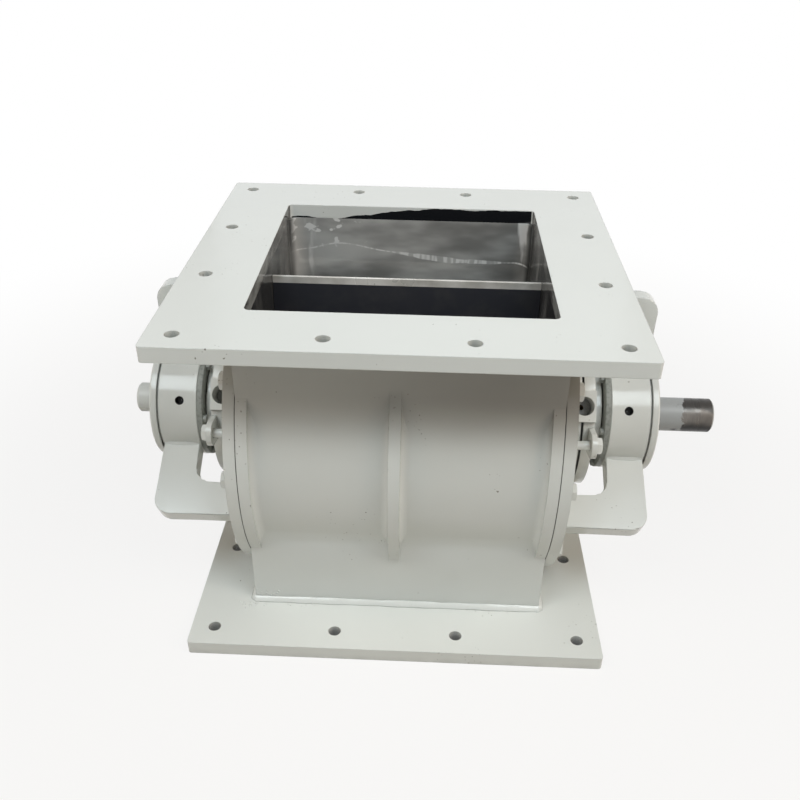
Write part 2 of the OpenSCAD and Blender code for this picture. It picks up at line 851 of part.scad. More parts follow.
module rotor_shaft() {
  key_x = drive_end_x - key_inset - key_len;
  color(dark_steel) difference() {
    union() {
      xcyl(core_d / 2, -rotor_half, rotor_half);
      for (s = [0, 1]) mirror([s, 0, 0]) {
        xcyl(seal_r, rotor_half, bearing_x);
        xcyl(journal_r, bearing_x, journal_end);
      }
      xcyl(drive_land_r, journal_end, land_end);
      shaft_end(drive_d / 2, land_end, drive_end_x);
      mirror([1, 0, 0]) {
        xcyl(tail_land_r, journal_end, land_end);
        shaft_end(tail_d / 2, land_end, tail_end_x);
      }
    }
    for (s = [0, 1]) mirror([s, 0, 0])
      xtube(journal_d, journal_r - circlip_groove, circlip_x, circlip_x + circlip_w + seat_gap);
    // keyway with round ends, near the drive end
    polar(key_angle) translate([key_x, -drive_d / 2 - eps, 0]) {
      for (x = [key_w / 2, key_len - key_w / 2])
        translate([x, 0, 0]) rotate([-90, 0, 0]) cylinder(d = key_w, h = key_depth + eps, $fn = 32);
      translate([key_w / 2, 0, -key_w / 2]) cube([key_len - key_w, key_depth + eps, key_w]);
    }
  }
}

module rotor_hub() {
  color(steel) xtube(hub_d / 2, core_d / 2, -rotor_half, rotor_half);
}

module vane(i) {
  color(steel) difference() {
    intersection() {
      polar(90 + vane_phase + (i - 1) * vane_pitch)
        translate([-rotor_half, -tip_r - eps, -vane_t / 2])
        cube([2 * rotor_half, tip_r + eps, vane_t]);
      xcyl(tip_r, -rotor_half - eps, rotor_half + eps);
    }
    xcyl(hub_d / 2, -rotor_half - eps, rotor_half + eps);
    // relief behind the tip
    polar(90 + vane_phase + (i - 1) * vane_pitch)
      translate([-rotor_half - eps, -tip_r, vane_t / 2]) rotate([45, 0, 0])
      translate([0, -vane_bevel, -vane_bevel])
        cube([2 * (rotor_half + eps), 2 * vane_bevel, 2 * vane_bevel]);
  }
}

// ---- nodes -------------------------------------------------------------------

inlet_flange();
outlet_flange();
inlet_weld();
outlet_weld();
housing_body();

cover_gasket();  // drive_cover_gasket
end_cover();  // drive_end_cover
cover_bolt_set();  // drive_cover_bolts
seal_housing();  // drive_seal_housing
packing_set();  // drive_packing_rings
lantern_ring();  // drive_lantern_ring
gland_follower();  // drive_gland_follower
seal_bolt_set();  // drive_seal_bolts
inner_cap();  // drive_inner_cap
inner_cap_screw_set();  // drive_inner_cap_screws
bearing_housing();  // drive_bearing_housing
front_bracket();  // drive_front_bracket
rear_bracket();  // drive_rear_bracket
bearing_outer_ring();  // drive_bearing_outer_ring
outer_cap(drive_land_r);  // drive_outer_cap
outer_cap_screw_set();  // drive_outer_cap_screws
lip_seal(drive_land_r);  // drive_lip_seal

tail_side() cover_gasket();  // tail_cover_gasket
tail_side() end_cover();  // tail_end_cover
tail_side() cover_bolt_set();  // tail_cover_bolts
tail_side() seal_housing();  // tail_seal_housing
tail_side() packing_set();  // tail_packing_rings
tail_side() lantern_ring();  // tail_lantern_ring
tail_side() gland_follower();  // tail_gland_follower
tail_side() seal_bolt_set();  // tail_seal_bolts
tail_side() inner_cap();  // tail_inner_cap
tail_side() inner_cap_screw_set();  // tail_inner_cap_screws
tail_side() bearing_housing();  // tail_bearing_housing
tail_side() front_bracket();  // tail_front_bracket
tail_side() rear_bracket();  // tail_rear_bracket
tail_side() bearing_outer_ring();  // tail_bearing_outer_ring
tail_side() outer_cap(tail_land_r);  // tail_outer_cap
tail_side() outer_cap_screw_set();  // tail_outer_cap_screws
tail_side() lip_seal(tail_land_r);  // tail_lip_seal

rotor_shaft();
rotor_hub();
vane(1);  // vane_1
vane(2);  // vane_2
vane(3);  // vane_3
vane(4);  // vane_4
vane(5);  // vane_5
vane(6);  // vane_6
vane(7);  // vane_7
vane(8);  // vane_8
bearing_inner_ring();  // drive_bearing_inner_ring
tail_side() bearing_inner_ring();  // tail_bearing_inner_ring
circlip();  // drive_circlip
tail_side() circlip();  // tail_circlip

bearing_cage();  // drive_bearing_cage
bearing_balls();  // drive_bearing_balls
tail_side() bearing_cage();  // tail_bearing_cage
tail_side() bearing_balls();  // tail_bearing_balls
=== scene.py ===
"""A rotary airlock valve dressed for the studio: finishes, weld beads, lights and camera."""

import logging
import math
import random
from collections.abc import Sequence
from dataclasses import dataclass, field, replace
from enum import Enum

import bmesh
import bpy
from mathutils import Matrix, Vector

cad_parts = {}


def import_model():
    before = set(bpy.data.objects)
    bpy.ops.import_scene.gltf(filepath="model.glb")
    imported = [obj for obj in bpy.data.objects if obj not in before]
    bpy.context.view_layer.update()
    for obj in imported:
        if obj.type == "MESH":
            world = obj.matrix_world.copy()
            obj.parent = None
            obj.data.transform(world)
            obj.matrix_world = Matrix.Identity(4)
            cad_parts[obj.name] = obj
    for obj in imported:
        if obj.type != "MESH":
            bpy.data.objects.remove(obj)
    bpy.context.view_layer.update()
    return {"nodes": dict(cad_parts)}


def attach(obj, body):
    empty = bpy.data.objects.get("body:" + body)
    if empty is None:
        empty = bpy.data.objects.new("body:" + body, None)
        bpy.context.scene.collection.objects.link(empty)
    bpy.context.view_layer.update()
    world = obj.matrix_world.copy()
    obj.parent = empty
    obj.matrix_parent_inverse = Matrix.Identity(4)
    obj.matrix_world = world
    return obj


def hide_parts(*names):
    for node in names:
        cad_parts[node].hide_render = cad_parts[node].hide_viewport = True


LOG = logging.getLogger("airlock_valve")

Colour = tuple[float, float, float, float]
Point = tuple[float, float, float]
Span = tuple[float, float]
Socket = bpy.types.NodeSocket

# The height of the shaft's axis above the valve's foot, in metres, and the middle of the shaft
AXIS_HEIGHT = 0.192
UP = Vector((0, 0, 1))
AXLE = UP * AXIS_HEIGHT


class Side(Enum):
    """The two ends of the rotor; the value is the end's sign along the shaft."""

    DRIVE = 1
    TAIL = -1

    @property
    def label(self) -> str:
        """The prefix of this end's node names."""
        return self.name.lower()


class Level(Enum):
    """The two square flanges; the value is the way their welds point along Z."""

    INLET = -1
    OUTLET = 1

    @property
    def label(self) -> str:
        """The prefix of this flange's node names."""
        return self.name.lower()


class Blend(Enum):
    """What a blend makes; the value is the node's type, its first input and its output."""

    NUMBER = ("FLOAT", 2, 0)
    NORMAL = ("VECTOR", 4, 1)
    COLOUR = ("RGBA", 6, 2)


# ---- finishes ---------------------------------------------------------------


@dataclass(frozen=True)
class Pattern:
    """Soft noise, and the step that turns it into patches.

    The scale is in patches per metre and the detail in octaves. Noise below low reads as start,
    and above high as end. The stretch works on each axis and the shift moves the pattern.
    """

    scale: float
    detail: float
    low: float = 0.0
    high: float = 1.0
    start: float = 0.0
    end: float = 1.0
    stretch: Point = (1, 1, 1)
    shift: float = 0.0


class Graph:
    """One material's node tree, with short calls for the nodes that the finishes share."""

    BEVEL_SAMPLES = 4
    HOLLOW_SAMPLES = 6
    EDGE_STEP = (0.98, 0.80)
    HOLLOW_STEP = (0.85, 0.25)

    def __init__(self, name: str) -> None:
        """Starts a material that holds one Principled shader.

        Args:
            name: The material's name.
        """
        self.material = bpy.data.materials.new(name)
        self.material.use_nodes = True
        self.tree = self.material.node_tree
        self.nodes, self.links = self.tree.nodes, self.tree.links
        self.nodes.clear()
        self.shader = self.nodes.new("ShaderNodeBsdfPrincipled")
        self.output = self.nodes.new("ShaderNodeOutputMaterial")
        self.links.new(self.shader.outputs[0], self.output.inputs["Surface"])
        self.place = self.nodes.new("ShaderNodeTexCoord").outputs["Object"]

    def feed(self, target: Socket, value: Socket | float | Sequence[float]) -> None:
        """Links a socket, or sets a constant, on a node's input.

        Args:
            target: The input to fill.
            value: What goes into it.
        """
        if isinstance(value, Socket):
            self.links.new(value, target)
        else:
            target.default_value = value

    def set(self, **inputs: Socket | float | Sequence[float]) -> None:
        """Fills the shader's inputs, named with underscores for spaces.

        Args:
            inputs: The value of each named input.
        """
        for name, value in inputs.items():
            self.feed(self.shader.inputs[name.replace("_", " ")], value)

    def noise(self, pattern: Pattern) -> Socket:
        """Soft three-dimensional noise in the piece's own coordinates.

        Args:
            pattern: Its scale, detail, stretch and shift.

        Returns:
            The noise, from 0 to 1.
        """
        mapping = self.nodes.new("ShaderNodeMapping")
        self.feed(mapping.inputs["Vector"], self.place)
        mapping.inputs["Scale"].default_value = pattern.stretch
        mapping.inputs["Location"].default_value = (pattern.shift, 2 * pattern.shift, -pattern.shift)
        texture = self.nodes.new("ShaderNodeTexNoise")
        self.feed(texture.inputs["Vector"], mapping.outputs[0])
        texture.inputs["Scale"].default_value = pattern.scale
        texture.inputs["Detail"].default_value = pattern.detail
        return texture.outputs[0]

    def patches(self, pattern: Pattern) -> Socket:
        """Noise turned into patches by the pattern's own step."""
        return self.band(self.noise(pattern), pattern.low, pattern.high, pattern.start, pattern.end)

    def wander(self, pattern: Pattern, reach: float) -> Socket:
        """Noise that strays to both sides of zero, over a reach in metres."""
        return self.product(self.math("SUBTRACT", self.noise(pattern), 0.5), reach)

    def math(self, operation: str, a: Socket | float, b: Socket | float = 0.0) -> Socket:
        """One math node.

        Args:
            operation: The node's operation.
            a: The first value.
            b: The second value.

        Returns:
            The result.
        """
        node = self.nodes.new("ShaderNodeMath")
        node.operation = operation
        self.feed(node.inputs[0], a)
        self.feed(node.inputs[1], b)
        return node.outputs[0]

    def product(self, first: Socket, *others: Socket | float) -> Socket:
        """Several numbers multiplied together.

        Args:
            first: The first number.
            others: The other numbers.

        Returns:
            Their product.
        """
        for other in others:
            first = self.math("MULTIPLY", first, other)
        return first

    def absolute(self, value: Socket) -> Socket:
        """A number without its sign."""
        return self.math("ABSOLUTE", value)

    def left(self, share: Socket) -> Socket:
        """What a share leaves of one."""
        return self.math("SUBTRACT", 1.0, share)

    def within(self, value: Socket, limit: float) -> Socket:
        """Whether a number lies nearer to zero than a limit."""
        return self.math("LESS_THAN", self.absolute(value), limit)

    def band(
        self, value: Socket, low: float, high: float, start: float = 0.0, end: float = 1.0
    ) -> Socket:
        """A smooth step between two values.

        Args:
            value: What is read.
            low: Where the step starts.
            high: Where the step ends.
            start: The result below low.
            end: The result above high.

        Returns:
            The result.
        """
        node = self.nodes.new("ShaderNodeMapRange")
        node.interpolation_type = "SMOOTHSTEP"
        for socket, number in zip(node.inputs, (value, low, high, start, end)):
            self.feed(socket, number)
        return node.outputs[0]

    def blend(
        self,
        kind: Blend,
        share: Socket,
        a: Socket | float | Colour,
        b: Socket | float | Colour,
    ) -> Socket:
        """A value between two others of one kind.

        Args:
            kind: What the values are.
            share: How much of b shows.
            a: The first value.
            b: The second value.

        Returns:
            The blended value.
        """
        data_type, first, output = kind.value
        node = self.nodes.new("ShaderNodeMix")
        node.data_type = data_type
        self.feed(node.inputs[0], share)
        self.feed(node.inputs[first], a)
        self.feed(node.inputs[first + 1], b)
        return node.outputs[output]

    def mix(self, share: Socket, a: Socket | Colour, b: Socket | Colour) -> Socket:
        """A colour between two others, with a share of b."""
        return self.blend(Blend.COLOUR, share, a, b)

    def axes(self) -> tuple[Socket, Socket, Socket]:
        """Reads where a point lies.

        Returns:
            The way along the shaft, the way to the rear and the height.
        """
        node = self.nodes.new("ShaderNodeSeparateXYZ")
        self.feed(node.inputs[0], self.place)
        return node.outputs[0], node.outputs[1], node.outputs[2]

    def radius(self) -> Socket:
        """Reads how far a point lies from the shaft's axis.

        Returns:
            The distance.
        """
        _, y, z = self.axes()
        up = self.math("SUBTRACT", z, AXIS_HEIGHT)
        return self.math("SQRT", self.math("ADD", self.product(y, y), self.product(up, up)))

    def rounded_normal(self, radius: float) -> Socket:
        """The surface normal with each edge softened.

        Args:
            radius: The edge's radius in metres.

        Returns:
            The normal.
        """
        node = self.nodes.new("ShaderNodeBevel")
        node.samples = self.BEVEL_SAMPLES
        node.inputs["Radius"].default_value = radius
        return node.outputs[0]

    def edges(self, normal: Socket) -> Socket:
        """How near a point is to an edge, from a softened normal.

        Args:
            normal: The softened normal.

        Returns:
            0 on a flat face, rising at an edge.
        """
        geometry = self.nodes.new("ShaderNodeNewGeometry")
        node = self.nodes.new("ShaderNodeVectorMath")
        node.operation = "DOT_PRODUCT"
        self.feed(node.inputs[0], normal)
        self.feed(node.inputs[1], geometry.outputs["Normal"])
        return self.band(node.outputs["Value"], *self.EDGE_STEP)

    def hollows(self, distance: float) -> Socket:
        """How enclosed a point is, for dust, grime and painted shade.

        Args:
            distance: How far nearby surfaces count, in metres.

        Returns:
            0 in the open, 1 deep in a corner.
        """
        node = self.nodes.new("ShaderNodeAmbientOcclusion")
        node.samples = self.HOLLOW_SAMPLES
        node.inputs["Distance"].default_value = distance
        return self.band(node.outputs["AO"], *self.HOLLOW_STEP)

    def bump(self, height: Socket, distance: float, normal: Socket | None = None) -> Socket:
        """A bumped normal.

        Args:
            height: The relief, from 0 to 1.
            distance: The relief's height in metres.
            normal: The normal to start from.

        Returns:
            The bumped normal.
        """
        node = self.nodes.new("ShaderNodeBump")
        node.inputs["Distance"].default_value = distance
        self.feed(node.inputs["Height"], height)
        if normal is not None:
            self.feed(node.inputs["Normal"], normal)
        return node.outputs[0]


@dataclass(frozen=True)
class Finish:
    """A procedural finish; each kind builds its own material."""

    name: str

    def build(self) -> bpy.types.Material:
        """Builds the finish's material; each kind overrides it."""
        raise NotImplementedError


@dataclass(frozen=True)
class Enamel(Finish):
    """Sprayed machine enamel: soft blotches, orange peel, grime mixed with painted shade in corners,
    painted shade deep in hollows and chipped edges.
    """

    colour: Colour = (0.70, 0.72, 0.695, 1)
    thin: Colour = (0.672, 0.692, 0.665, 1)
    grime: Colour = (0.20, 0.19, 0.165, 1)
    chip: Colour = (0.16, 0.155, 0.15, 1)
    shade: Colour = (0.025, 0.025, 0.022, 1)
    roughness: float = 0.16
    smoother: float = 0.03
    rougher: float = 0.05
    coat: float = 0.05
    coat_roughness: float = 0.08
    peel: float = 0.00001
    sag: float = 0.00045
    edge: float = 0.0011
    # How far corners reach for grime mixed with painted shade, and how enclosed a hollow must be for
    # painted shade alone
    corner_reach: float = 0.018
    corner_grime: float = 0.45
    deep: float = 0.94
    deep_shade: float = 0.75
    blotches: Pattern = Pattern(5.0, 2.0, 0.25, 0.75)
    specks: Pattern = Pattern(420.0, 0.0, 0.80, 0.83, shift=0.3)
    specked_areas: Pattern = Pattern(16.0, 2.0, 0.56, 0.66, shift=0.7)
    dirt: Pattern = Pattern(45.0, 4.0, 0.25, 0.8)
    chips: Pattern = Pattern(85.0, 5.0, 0.66, 0.74, shift=1.1)
    gloss: Pattern = Pattern(12.0, 2.0, 0.3, 0.7, shift=2.0)
    waves: Pattern = Pattern(26.0, 1.0)
    orange_peel: Pattern = Pattern(520.0, 1.0)

    def coat_paint(self, graph: Graph) -> tuple[Socket, Socket, Socket]:
        """Builds the paint's colour, roughness and normal.

        Args:
            graph: The material's nodes.

        Returns:
            The colour, roughness and normal.
        """
        colour = graph.mix(graph.patches(self.blotches), self.colour, self.thin)
        specks = graph.product(graph.patches(self.specks), graph.patches(self.specked_areas))
        colour = graph.mix(specks, colour, self.grime)
        # Painted shade mixed with grime: colour darkens where nearby surfaces enclose a corner
        hollow = graph.hollows(self.corner_reach)
        dirt = graph.product(hollow, graph.patches(self.dirt), self.corner_grime)
        colour = graph.mix(dirt, colour, self.grime)
        # Painted shade deep in the most enclosed hollows
        colour = graph.mix(graph.band(hollow, self.deep, 1.0, 0.0, self.deep_shade), colour, self.shade)
        soft = graph.rounded_normal(self.edge)
        worn = graph.product(graph.edges(soft), graph.patches(self.chips))
        colour = graph.mix(worn, colour, self.chip)
        low, high = self.roughness - self.smoother, self.roughness + self.rougher
        roughness = graph.patches(replace(self.gloss, start=low, end=high))
        wavy = graph.bump(graph.noise(self.waves), self.sag, soft)
        return colour, roughness, graph.bump(graph.noise(self.orange_peel), self.peel, wavy)

    def lacquer(
        self, graph: Graph, colour: Socket, roughness: Socket, normal: Socket
    ) -> bpy.types.Material:
        """Closes the finish with its thin clear coat.

        Args:
            graph: The material's nodes.
            colour: The colour.
            roughness: The roughness.
            normal: The normal.

        Returns:
            The material.
        """
        graph.set(Base_Color=colour, Roughness=roughness, Normal=normal)
        graph.set(Coat_Weight=self.coat, Coat_Roughness=self.coat_roughness)
        return graph.material

    def build(self) -> bpy.types.Material:
        """Builds the enamel."""
        graph = Graph(self.name)
        return self.lacquer(graph, *self.coat_paint(graph))


@dataclass(frozen=True)
class HousingFinish(Enamel):
    """Enamel outside with a painted shadow under the inlet flange, and bright worn steel inside the
    bore and the two ducts with painted highlights on the rear wall.
    """

    bright: Colour = (0.62, 0.62, 0.60, 1)
    dull: Colour = (0.27, 0.27, 0.26, 1)
    soot: Colour = (0.15, 0.13, 0.10, 1)
    dark: Colour = (0.045, 0.045, 0.043, 1)
    seam: Colour = (0.95, 0.95, 0.93, 1)
    metallic: float = 0.30
    dent: float = 0.0028
    duct_half: float = 0.1508
    bore: float = 0.1608
    bore_half: float = 0.1655
    wall_from: Span = (0.1428, 0.1488)
    rear_from: Span = (0.12, 0.14)
    side_from: Span = (0.112, 0.132)
    # Painted glints at the upper left of the rear wall
    drip_height: Span = (0.325, 0.34)
    drip_end: Span = (-0.05, -0.07)
    score_depth: float = 0.45
    # A painted reflection: a bright line drawn across the rear wall of the duct
    seam_height: float = 0.323
    seam_fall: float = 0.045
    seam_sweep: float = 0.05
    seam_thin: float = 0.0007
    seam_width: float = 0.0034
    seam_swell: Span = (-0.025, 0.0)
    seam_fade: Span = (0.09, 0.13)
    seam_end: float = 0.3
    seam_edge: Span = (-0.0005, 0.0006)
    # A painted shadow on the paint under the inlet flange, darker towards the right
    soot_height: Span = (0.236, 0.300)
    soot_across: Span = (-0.12, 0.12)
    soot_share: Span = (0.42, 0.72)
    streaks: Pattern = Pattern(9.0, 3.0, 0.30, 0.66, stretch=(1, 1, 3), shift=0.4)
    sweep: Pattern = Pattern(7.0, 1.0, shift=8.0)
    unevenness: Pattern = Pattern(24.0, 3.0, 0.30, 0.66, 0.4, 1.0, stretch=(1, 0.2, 0.2), shift=9.0)
    ripple: Pattern = Pattern(300.0, 0.0, 0.35, 0.6, 0.3, 1.0, stretch=(1, 0.1, 0.1))
    shine: Pattern = Pattern(34.0, 3.0, 0.56, 0.66, stretch=(1.4, 1, 0.4), shift=6.1)
    drips: Pattern = Pattern(95.0, 2.0, 0.62, 0.66, stretch=(0.7, 1, 1), shift=7.7)
    scores: Pattern = Pattern(30.0, 4.0, 0.45, 0.75, stretch=(1, 1, 0.3), shift=2.2)
    polish: Pattern = Pattern(30.0, 3.0, 0.3, 0.7, 0.14, 0.24)
    dents: Pattern = Pattern(15.0, 2.0, shift=3.0)

    def seam_line(self, graph: Graph, x: Socket, z: Socket) -> Socket:
        """Draws the painted reflection, a bright line that falls from left to right.

        Args:
            graph: The material's nodes.
            x: The way along the shaft.
            z: The height.

        Returns:
            How much of the painted reflection shows.
        """
        middle = graph.math("ADD", graph.product(x, -self.seam_fall), self.seam_height)
        middle = graph.math("ADD", middle, graph.wander(self.sweep, self.seam_sweep))
        gap = graph.absolute(graph.math("SUBTRACT", z, middle))
        width = graph.band(x, *self.seam_swell, self.seam_thin, self.seam_width)
        fade = graph.band(x, *self.seam_fade, 1.0, self.seam_end)
        width = graph.product(width, graph.patches(self.unevenness), fade)
        line = graph.band(graph.math("SUBTRACT", gap, width), *self.seam_edge, 1.0, 0.0)
        return graph.product(line, graph.patches(self.ripple))

    def glints(self, graph: Graph, x: Socket, z: Socket) -> Socket:
        """Draws the painted glints: bright patches near both end walls and a cluster at the upper left.

        Args:
            graph: The material's nodes.
            x: The way along the shaft.
            z: The height.

        Returns:
            How much of them shows.
        """
        corner = graph.product(graph.band(z, *self.drip_height), graph.band(x, *self.drip_end))
        drips = graph.product(graph.patches(self.drips), corner)
        side = graph.band(graph.absolute(x), *self.side_from)
        return graph.math("MAXIMUM", graph.product(graph.patches(self.shine), side), drips)

    def steel(self, graph: Graph, x: Socket, y: Socket, z: Socket) -> tuple[Socket, Socket]:
        """Builds the bare steel with a painted reflection line and painted glints on the rear wall, and
        dark end walls.

        Args:
            graph: The material's nodes.
            x: The way along the shaft.
            y: The way to the rear.
            z: The height.

        Returns:
            The colour and the roughness.
        """
        steel = graph.mix(graph.patches(self.streaks), self.dull, self.bright)
        # Painted highlights: the reflection line and the glints are bright colour on the rear wall
        marks = graph.math("MAXIMUM", self.seam_line(graph, x, z), self.glints(graph, x, z))
        steel = graph.mix(graph.product(marks, graph.band(y, *self.rear_from)), steel, self.seam)
        wall = graph.band(graph.absolute(x), *self.wall_from)
        worn = graph.left(graph.product(graph.patches(self.scores), self.score_depth))
        steel = graph.mix(graph.product(wall, worn), steel, self.dark)
        return steel, graph.patches(self.polish)

    def build(self) -> bpy.types.Material:
        """Builds the housing's two-part finish.

        Returns:
            The material.
        """
        graph = Graph(self.name)
        paint, paint_roughness, paint_normal = self.coat_paint(graph)
        x, y, z = graph.axes()
        # Painted shadow of the inlet flange, laid on the paint below it
        share = graph.band(x, *self.soot_across, *self.soot_share)
        paint = graph.mix(graph.product(graph.band(z, *self.soot_height), share), paint, self.soot)
        in_duct = graph.product(graph.within(x, self.duct_half), graph.within(y, self.duct_half))
        in_bore = graph.math("LESS_THAN", graph.radius(), self.bore)
        in_bore = graph.product(in_bore, graph.within(x, self.bore_half))
        inside = graph.math("MAXIMUM", in_duct, in_bore)
        steel, roughness = self.steel(graph, x, y, z)
        dents = graph.bump(graph.noise(self.dents), self.dent)
        graph.set(Metallic=graph.product(inside, self.metallic))
        return self.lacquer(
            graph,
            graph.mix(inside, paint, steel),
            graph.blend(Blend.NUMBER, inside, paint_roughness, roughness),
            graph.blend(Blend.NORMAL, inside, paint_normal, dents),
        )


@dataclass(frozen=True)
class FlangeFinish(Enamel):
    """Enamel with a dark run inside the port's rear edge and stained side edges."""

    sealant: Colour = (0.010, 0.011, 0.013, 1)
    sealant_roughness: float = 0.12
    stain: Colour = (0.11, 0.11, 0.105, 1)
    port_half: float = 0.15
    reach: float = 0.0012
    top: float = 0.384
    rim: float = 0.0006
    thickness: float = 0.016
    run_span: Span = (-0.115, 0.035)
    run_height: float = 0.92
    run_stray: float = 0.010
    run_edge: Pattern = Pattern(38.0, 3.0, stretch=(1, 0.1, 0.1), shift=3.3)
    smears: Pattern = Pattern(34.0, 4.0, 0.35, 0.6, 0.55, 1.0, stretch=(1, 0.5, 1.5), shift=4.1)

    def build(self) -> bpy.types.Material:
        """Builds the flange's finish.

        Returns:
            The material.
        """
        graph = Graph(self.name)
        colour, roughness, normal = self.coat_paint(graph)
        x, y, z = graph.axes()
        outer, inner = self.port_half + self.reach, self.port_half - self.reach
        port = graph.product(graph.within(x, outer), graph.within(y, outer))
        below = graph.math("LESS_THAN", z, self.top - self.rim)
        rear = graph.product(port, graph.math("GREATER_THAN", y, inner), below)
        rise = graph.band(x, *self.run_span, 0.0, self.thickness * self.run_height)
        limit = graph.math("ADD", rise, graph.wander(self.run_edge, self.run_stray))
        limit = graph.math("ADD", limit, self.top - self.thickness)
        run = graph.product(rear, graph.math("LESS_THAN", z, limit))
        sides = graph.product(port, graph.math("GREATER_THAN", graph.absolute(x), inner), below)
        colour = graph.mix(graph.product(sides, graph.patches(self.smears)), colour, self.stain)
        colour = graph.mix(run, colour, self.sealant)
        roughness = graph.blend(Blend.NUMBER, run, roughness, self.sealant_roughness)
        return self.lacquer(graph, colour, roughness, normal)


@dataclass(frozen=True)
class Steel(Finish):
    """Turned or ground steel with a stained, uneven tone."""

    light: Colour = (0.46, 0.455, 0.44, 1)
    dark: Colour = (0.22, 0.215, 0.21, 1)
    roughness: float = 0.32
    smoother: float = 0.08
    rougher: float = 0.12
    lines: Point = (60, 1, 1)
    relief: float = 0.00002
    edge: float = 0.0006
    stains: Pattern = Pattern(24.0, 4.0, 0.35, 0.7)
    marks: Pattern = Pattern(18.0, 3.0, 0.3, 0.7, 0.6, 1.0, shift=0.9)

    def metal(self, graph: Graph) -> tuple[Socket, Socket, Socket]:
        """Builds the bare metal's colour, roughness and normal.

        Args:
            graph: The material's nodes.

        Returns:
            The colour, roughness and normal.
        """
        marks = graph.noise(replace(self.marks, stretch=self.lines))
        low, high = self.marks.low, self.marks.high
        tone = graph.band(marks, low, high, self.marks.start, self.marks.end)
        colour = graph.mix(graph.product(graph.patches(self.stains), tone), self.light, self.dark)
        smooth, rough = self.roughness - self.smoother, self.roughness + self.rougher
        roughness = graph.band(marks, low, high, smooth, rough)
        return colour, roughness, graph.bump(marks, self.relief, graph.rounded_normal(self.edge))

    def build(self) -> bpy.types.Material:
        """Builds the steel.

        Returns:
            The material.
        """
        graph = Graph(self.name)
        colour, roughness, normal = self.metal(graph)
        graph.set(Base_Color=colour, Roughness=roughness, Normal=normal, Metallic=1.0)
        return graph.material


@dataclass(frozen=True)
class ShaftFinish(Steel):
    """A turned shaft: overspray from each cap, a bare strip under the tail, and bare steel in painted
    shade but for a painted highlight band.

    Heights are counted from the shaft's axis.
    """

    paint: Colour = (0.34, 0.355, 0.36, 1)
    pale: Colour = (0.62, 0.64, 0.62, 1)
    warm: Colour = (0.20, 0.165, 0.135, 1)
    # Painted shade on the bare steel outside the painted highlight band
    oil: Colour = (0.012, 0.011, 0.010, 1)
    metallic: float = 0.30
    paint_roughness: float = 0.42
    warm_share: float = 0.6
    ends_from: float = 0.25
    drive_edge: Span = (0.329, 0.3302)
    edge_stray: float = 0.022
    strip_height: Span = (-0.013, -0.010)
    strip_end: Span = (-0.309, -0.306)
    scuffed_from: Span = (0.305, 0.325)
    lit_from: Span = (-0.007, 0.004)
    lit_to: Span = (0.0115, 0.0165)
    lit_rest: float = 0.15
    lit_stray: float = 0.010
    chamfer_from: Span = (0.3630, 0.3634)
    chamfer_share: float = 0.5
    ragged: Pattern = Pattern(60.0, 5.0)
    scuffs: Pattern = Pattern(70.0, 6.0, 0.56, 0.66, stretch=(0.5, 1, 1), shift=4.0)
    warmth: Pattern = Pattern(30.0, 2.0, 0.42, 0.62, stretch=(1, 0.4, 0.4), shift=5.0)
    lit_edge: Pattern = Pattern(45.0, 2.0)

    def painted(self, graph: Graph, x: Socket, z: Socket) -> Socket:
        """Finds where overspray covers the shaft.

        Args:
            graph: The material's nodes.
            x: The way along the shaft.
            z: The height above the axis.

        Returns:
            How much paint shows.
        """
        place = graph.math("ADD", x, graph.wander(self.ragged, self.edge_stray))
        drive = graph.band(place, *self.drive_edge, 1.0, 0.0)
        drive = graph.product(drive, graph.math("GREATER_THAN", x, self.ends_from))
        strip = graph.band(z, *self.strip_height, 1.0, 0.0)
        strip = graph.product(strip, graph.band(place, *self.strip_end, 1.0, 0.0))
        tail = graph.product(graph.math("LESS_THAN", x, -self.ends_from), graph.left(strip))
        scuffs = graph.product(graph.patches(self.scuffs), graph.band(x, *self.scuffed_from))
        return graph.product(graph.math("MAXIMUM", drive, tail), graph.left(scuffs))

    def bare(self, graph: Graph, metal: Socket, x: Socket, z: Socket) -> Socket:
        """Darkens the bare metal with painted shade, all but a band along its upper side that stays
        light as a painted highlight.

        Args:
            graph: The material's nodes.
            metal: The clean metal's colour.
            x: The way along the shaft.
            z: The height above the axis.

        Returns:
            The colour.
        """
        warmth = graph.product(graph.patches(self.warmth), self.warm_share)
        metal = graph.mix(warmth, metal, self.warm)
        # A painted highlight: this band keeps the metal's colour while painted shade darkens the rest
        level = graph.math("ADD", z, graph.wander(self.lit_edge, self.lit_stray))
        lit = graph.product(
            graph.band(level, *self.lit_from), graph.band(level, *self.lit_to, 1.0, self.lit_rest)
        )
        metal = graph.mix(lit, self.oil, metal)
        return graph.mix(graph.band(x, *self.chamfer_from, 0.0, self.chamfer_share), metal, self.pale)

    def build(self) -> bpy.types.Material:
        """Builds the shaft's finish.

        Returns:
            The material.
        """
        graph = Graph(self.name)
        metal, metal_roughness, normal = self.metal(graph)
        x, _, z = graph.axes()
        z = graph.math("SUBTRACT", z, AXIS_HEIGHT)
        painted = self.painted(graph, x, z)
        paint = graph.mix(graph.math("LESS_THAN", x, 0.0), self.paint, self.pale)
        graph.set(
            Base_Color=graph.mix(painted, self.bare(graph, metal, x, z), paint),
            Roughness=graph.blend(Blend.NUMBER, painted, metal_roughness, self.paint_roughness),
            Metallic=graph.blend(Blend.NUMBER, painted, self.metallic, 0.0),
            Normal=normal,
        )
        return graph.material


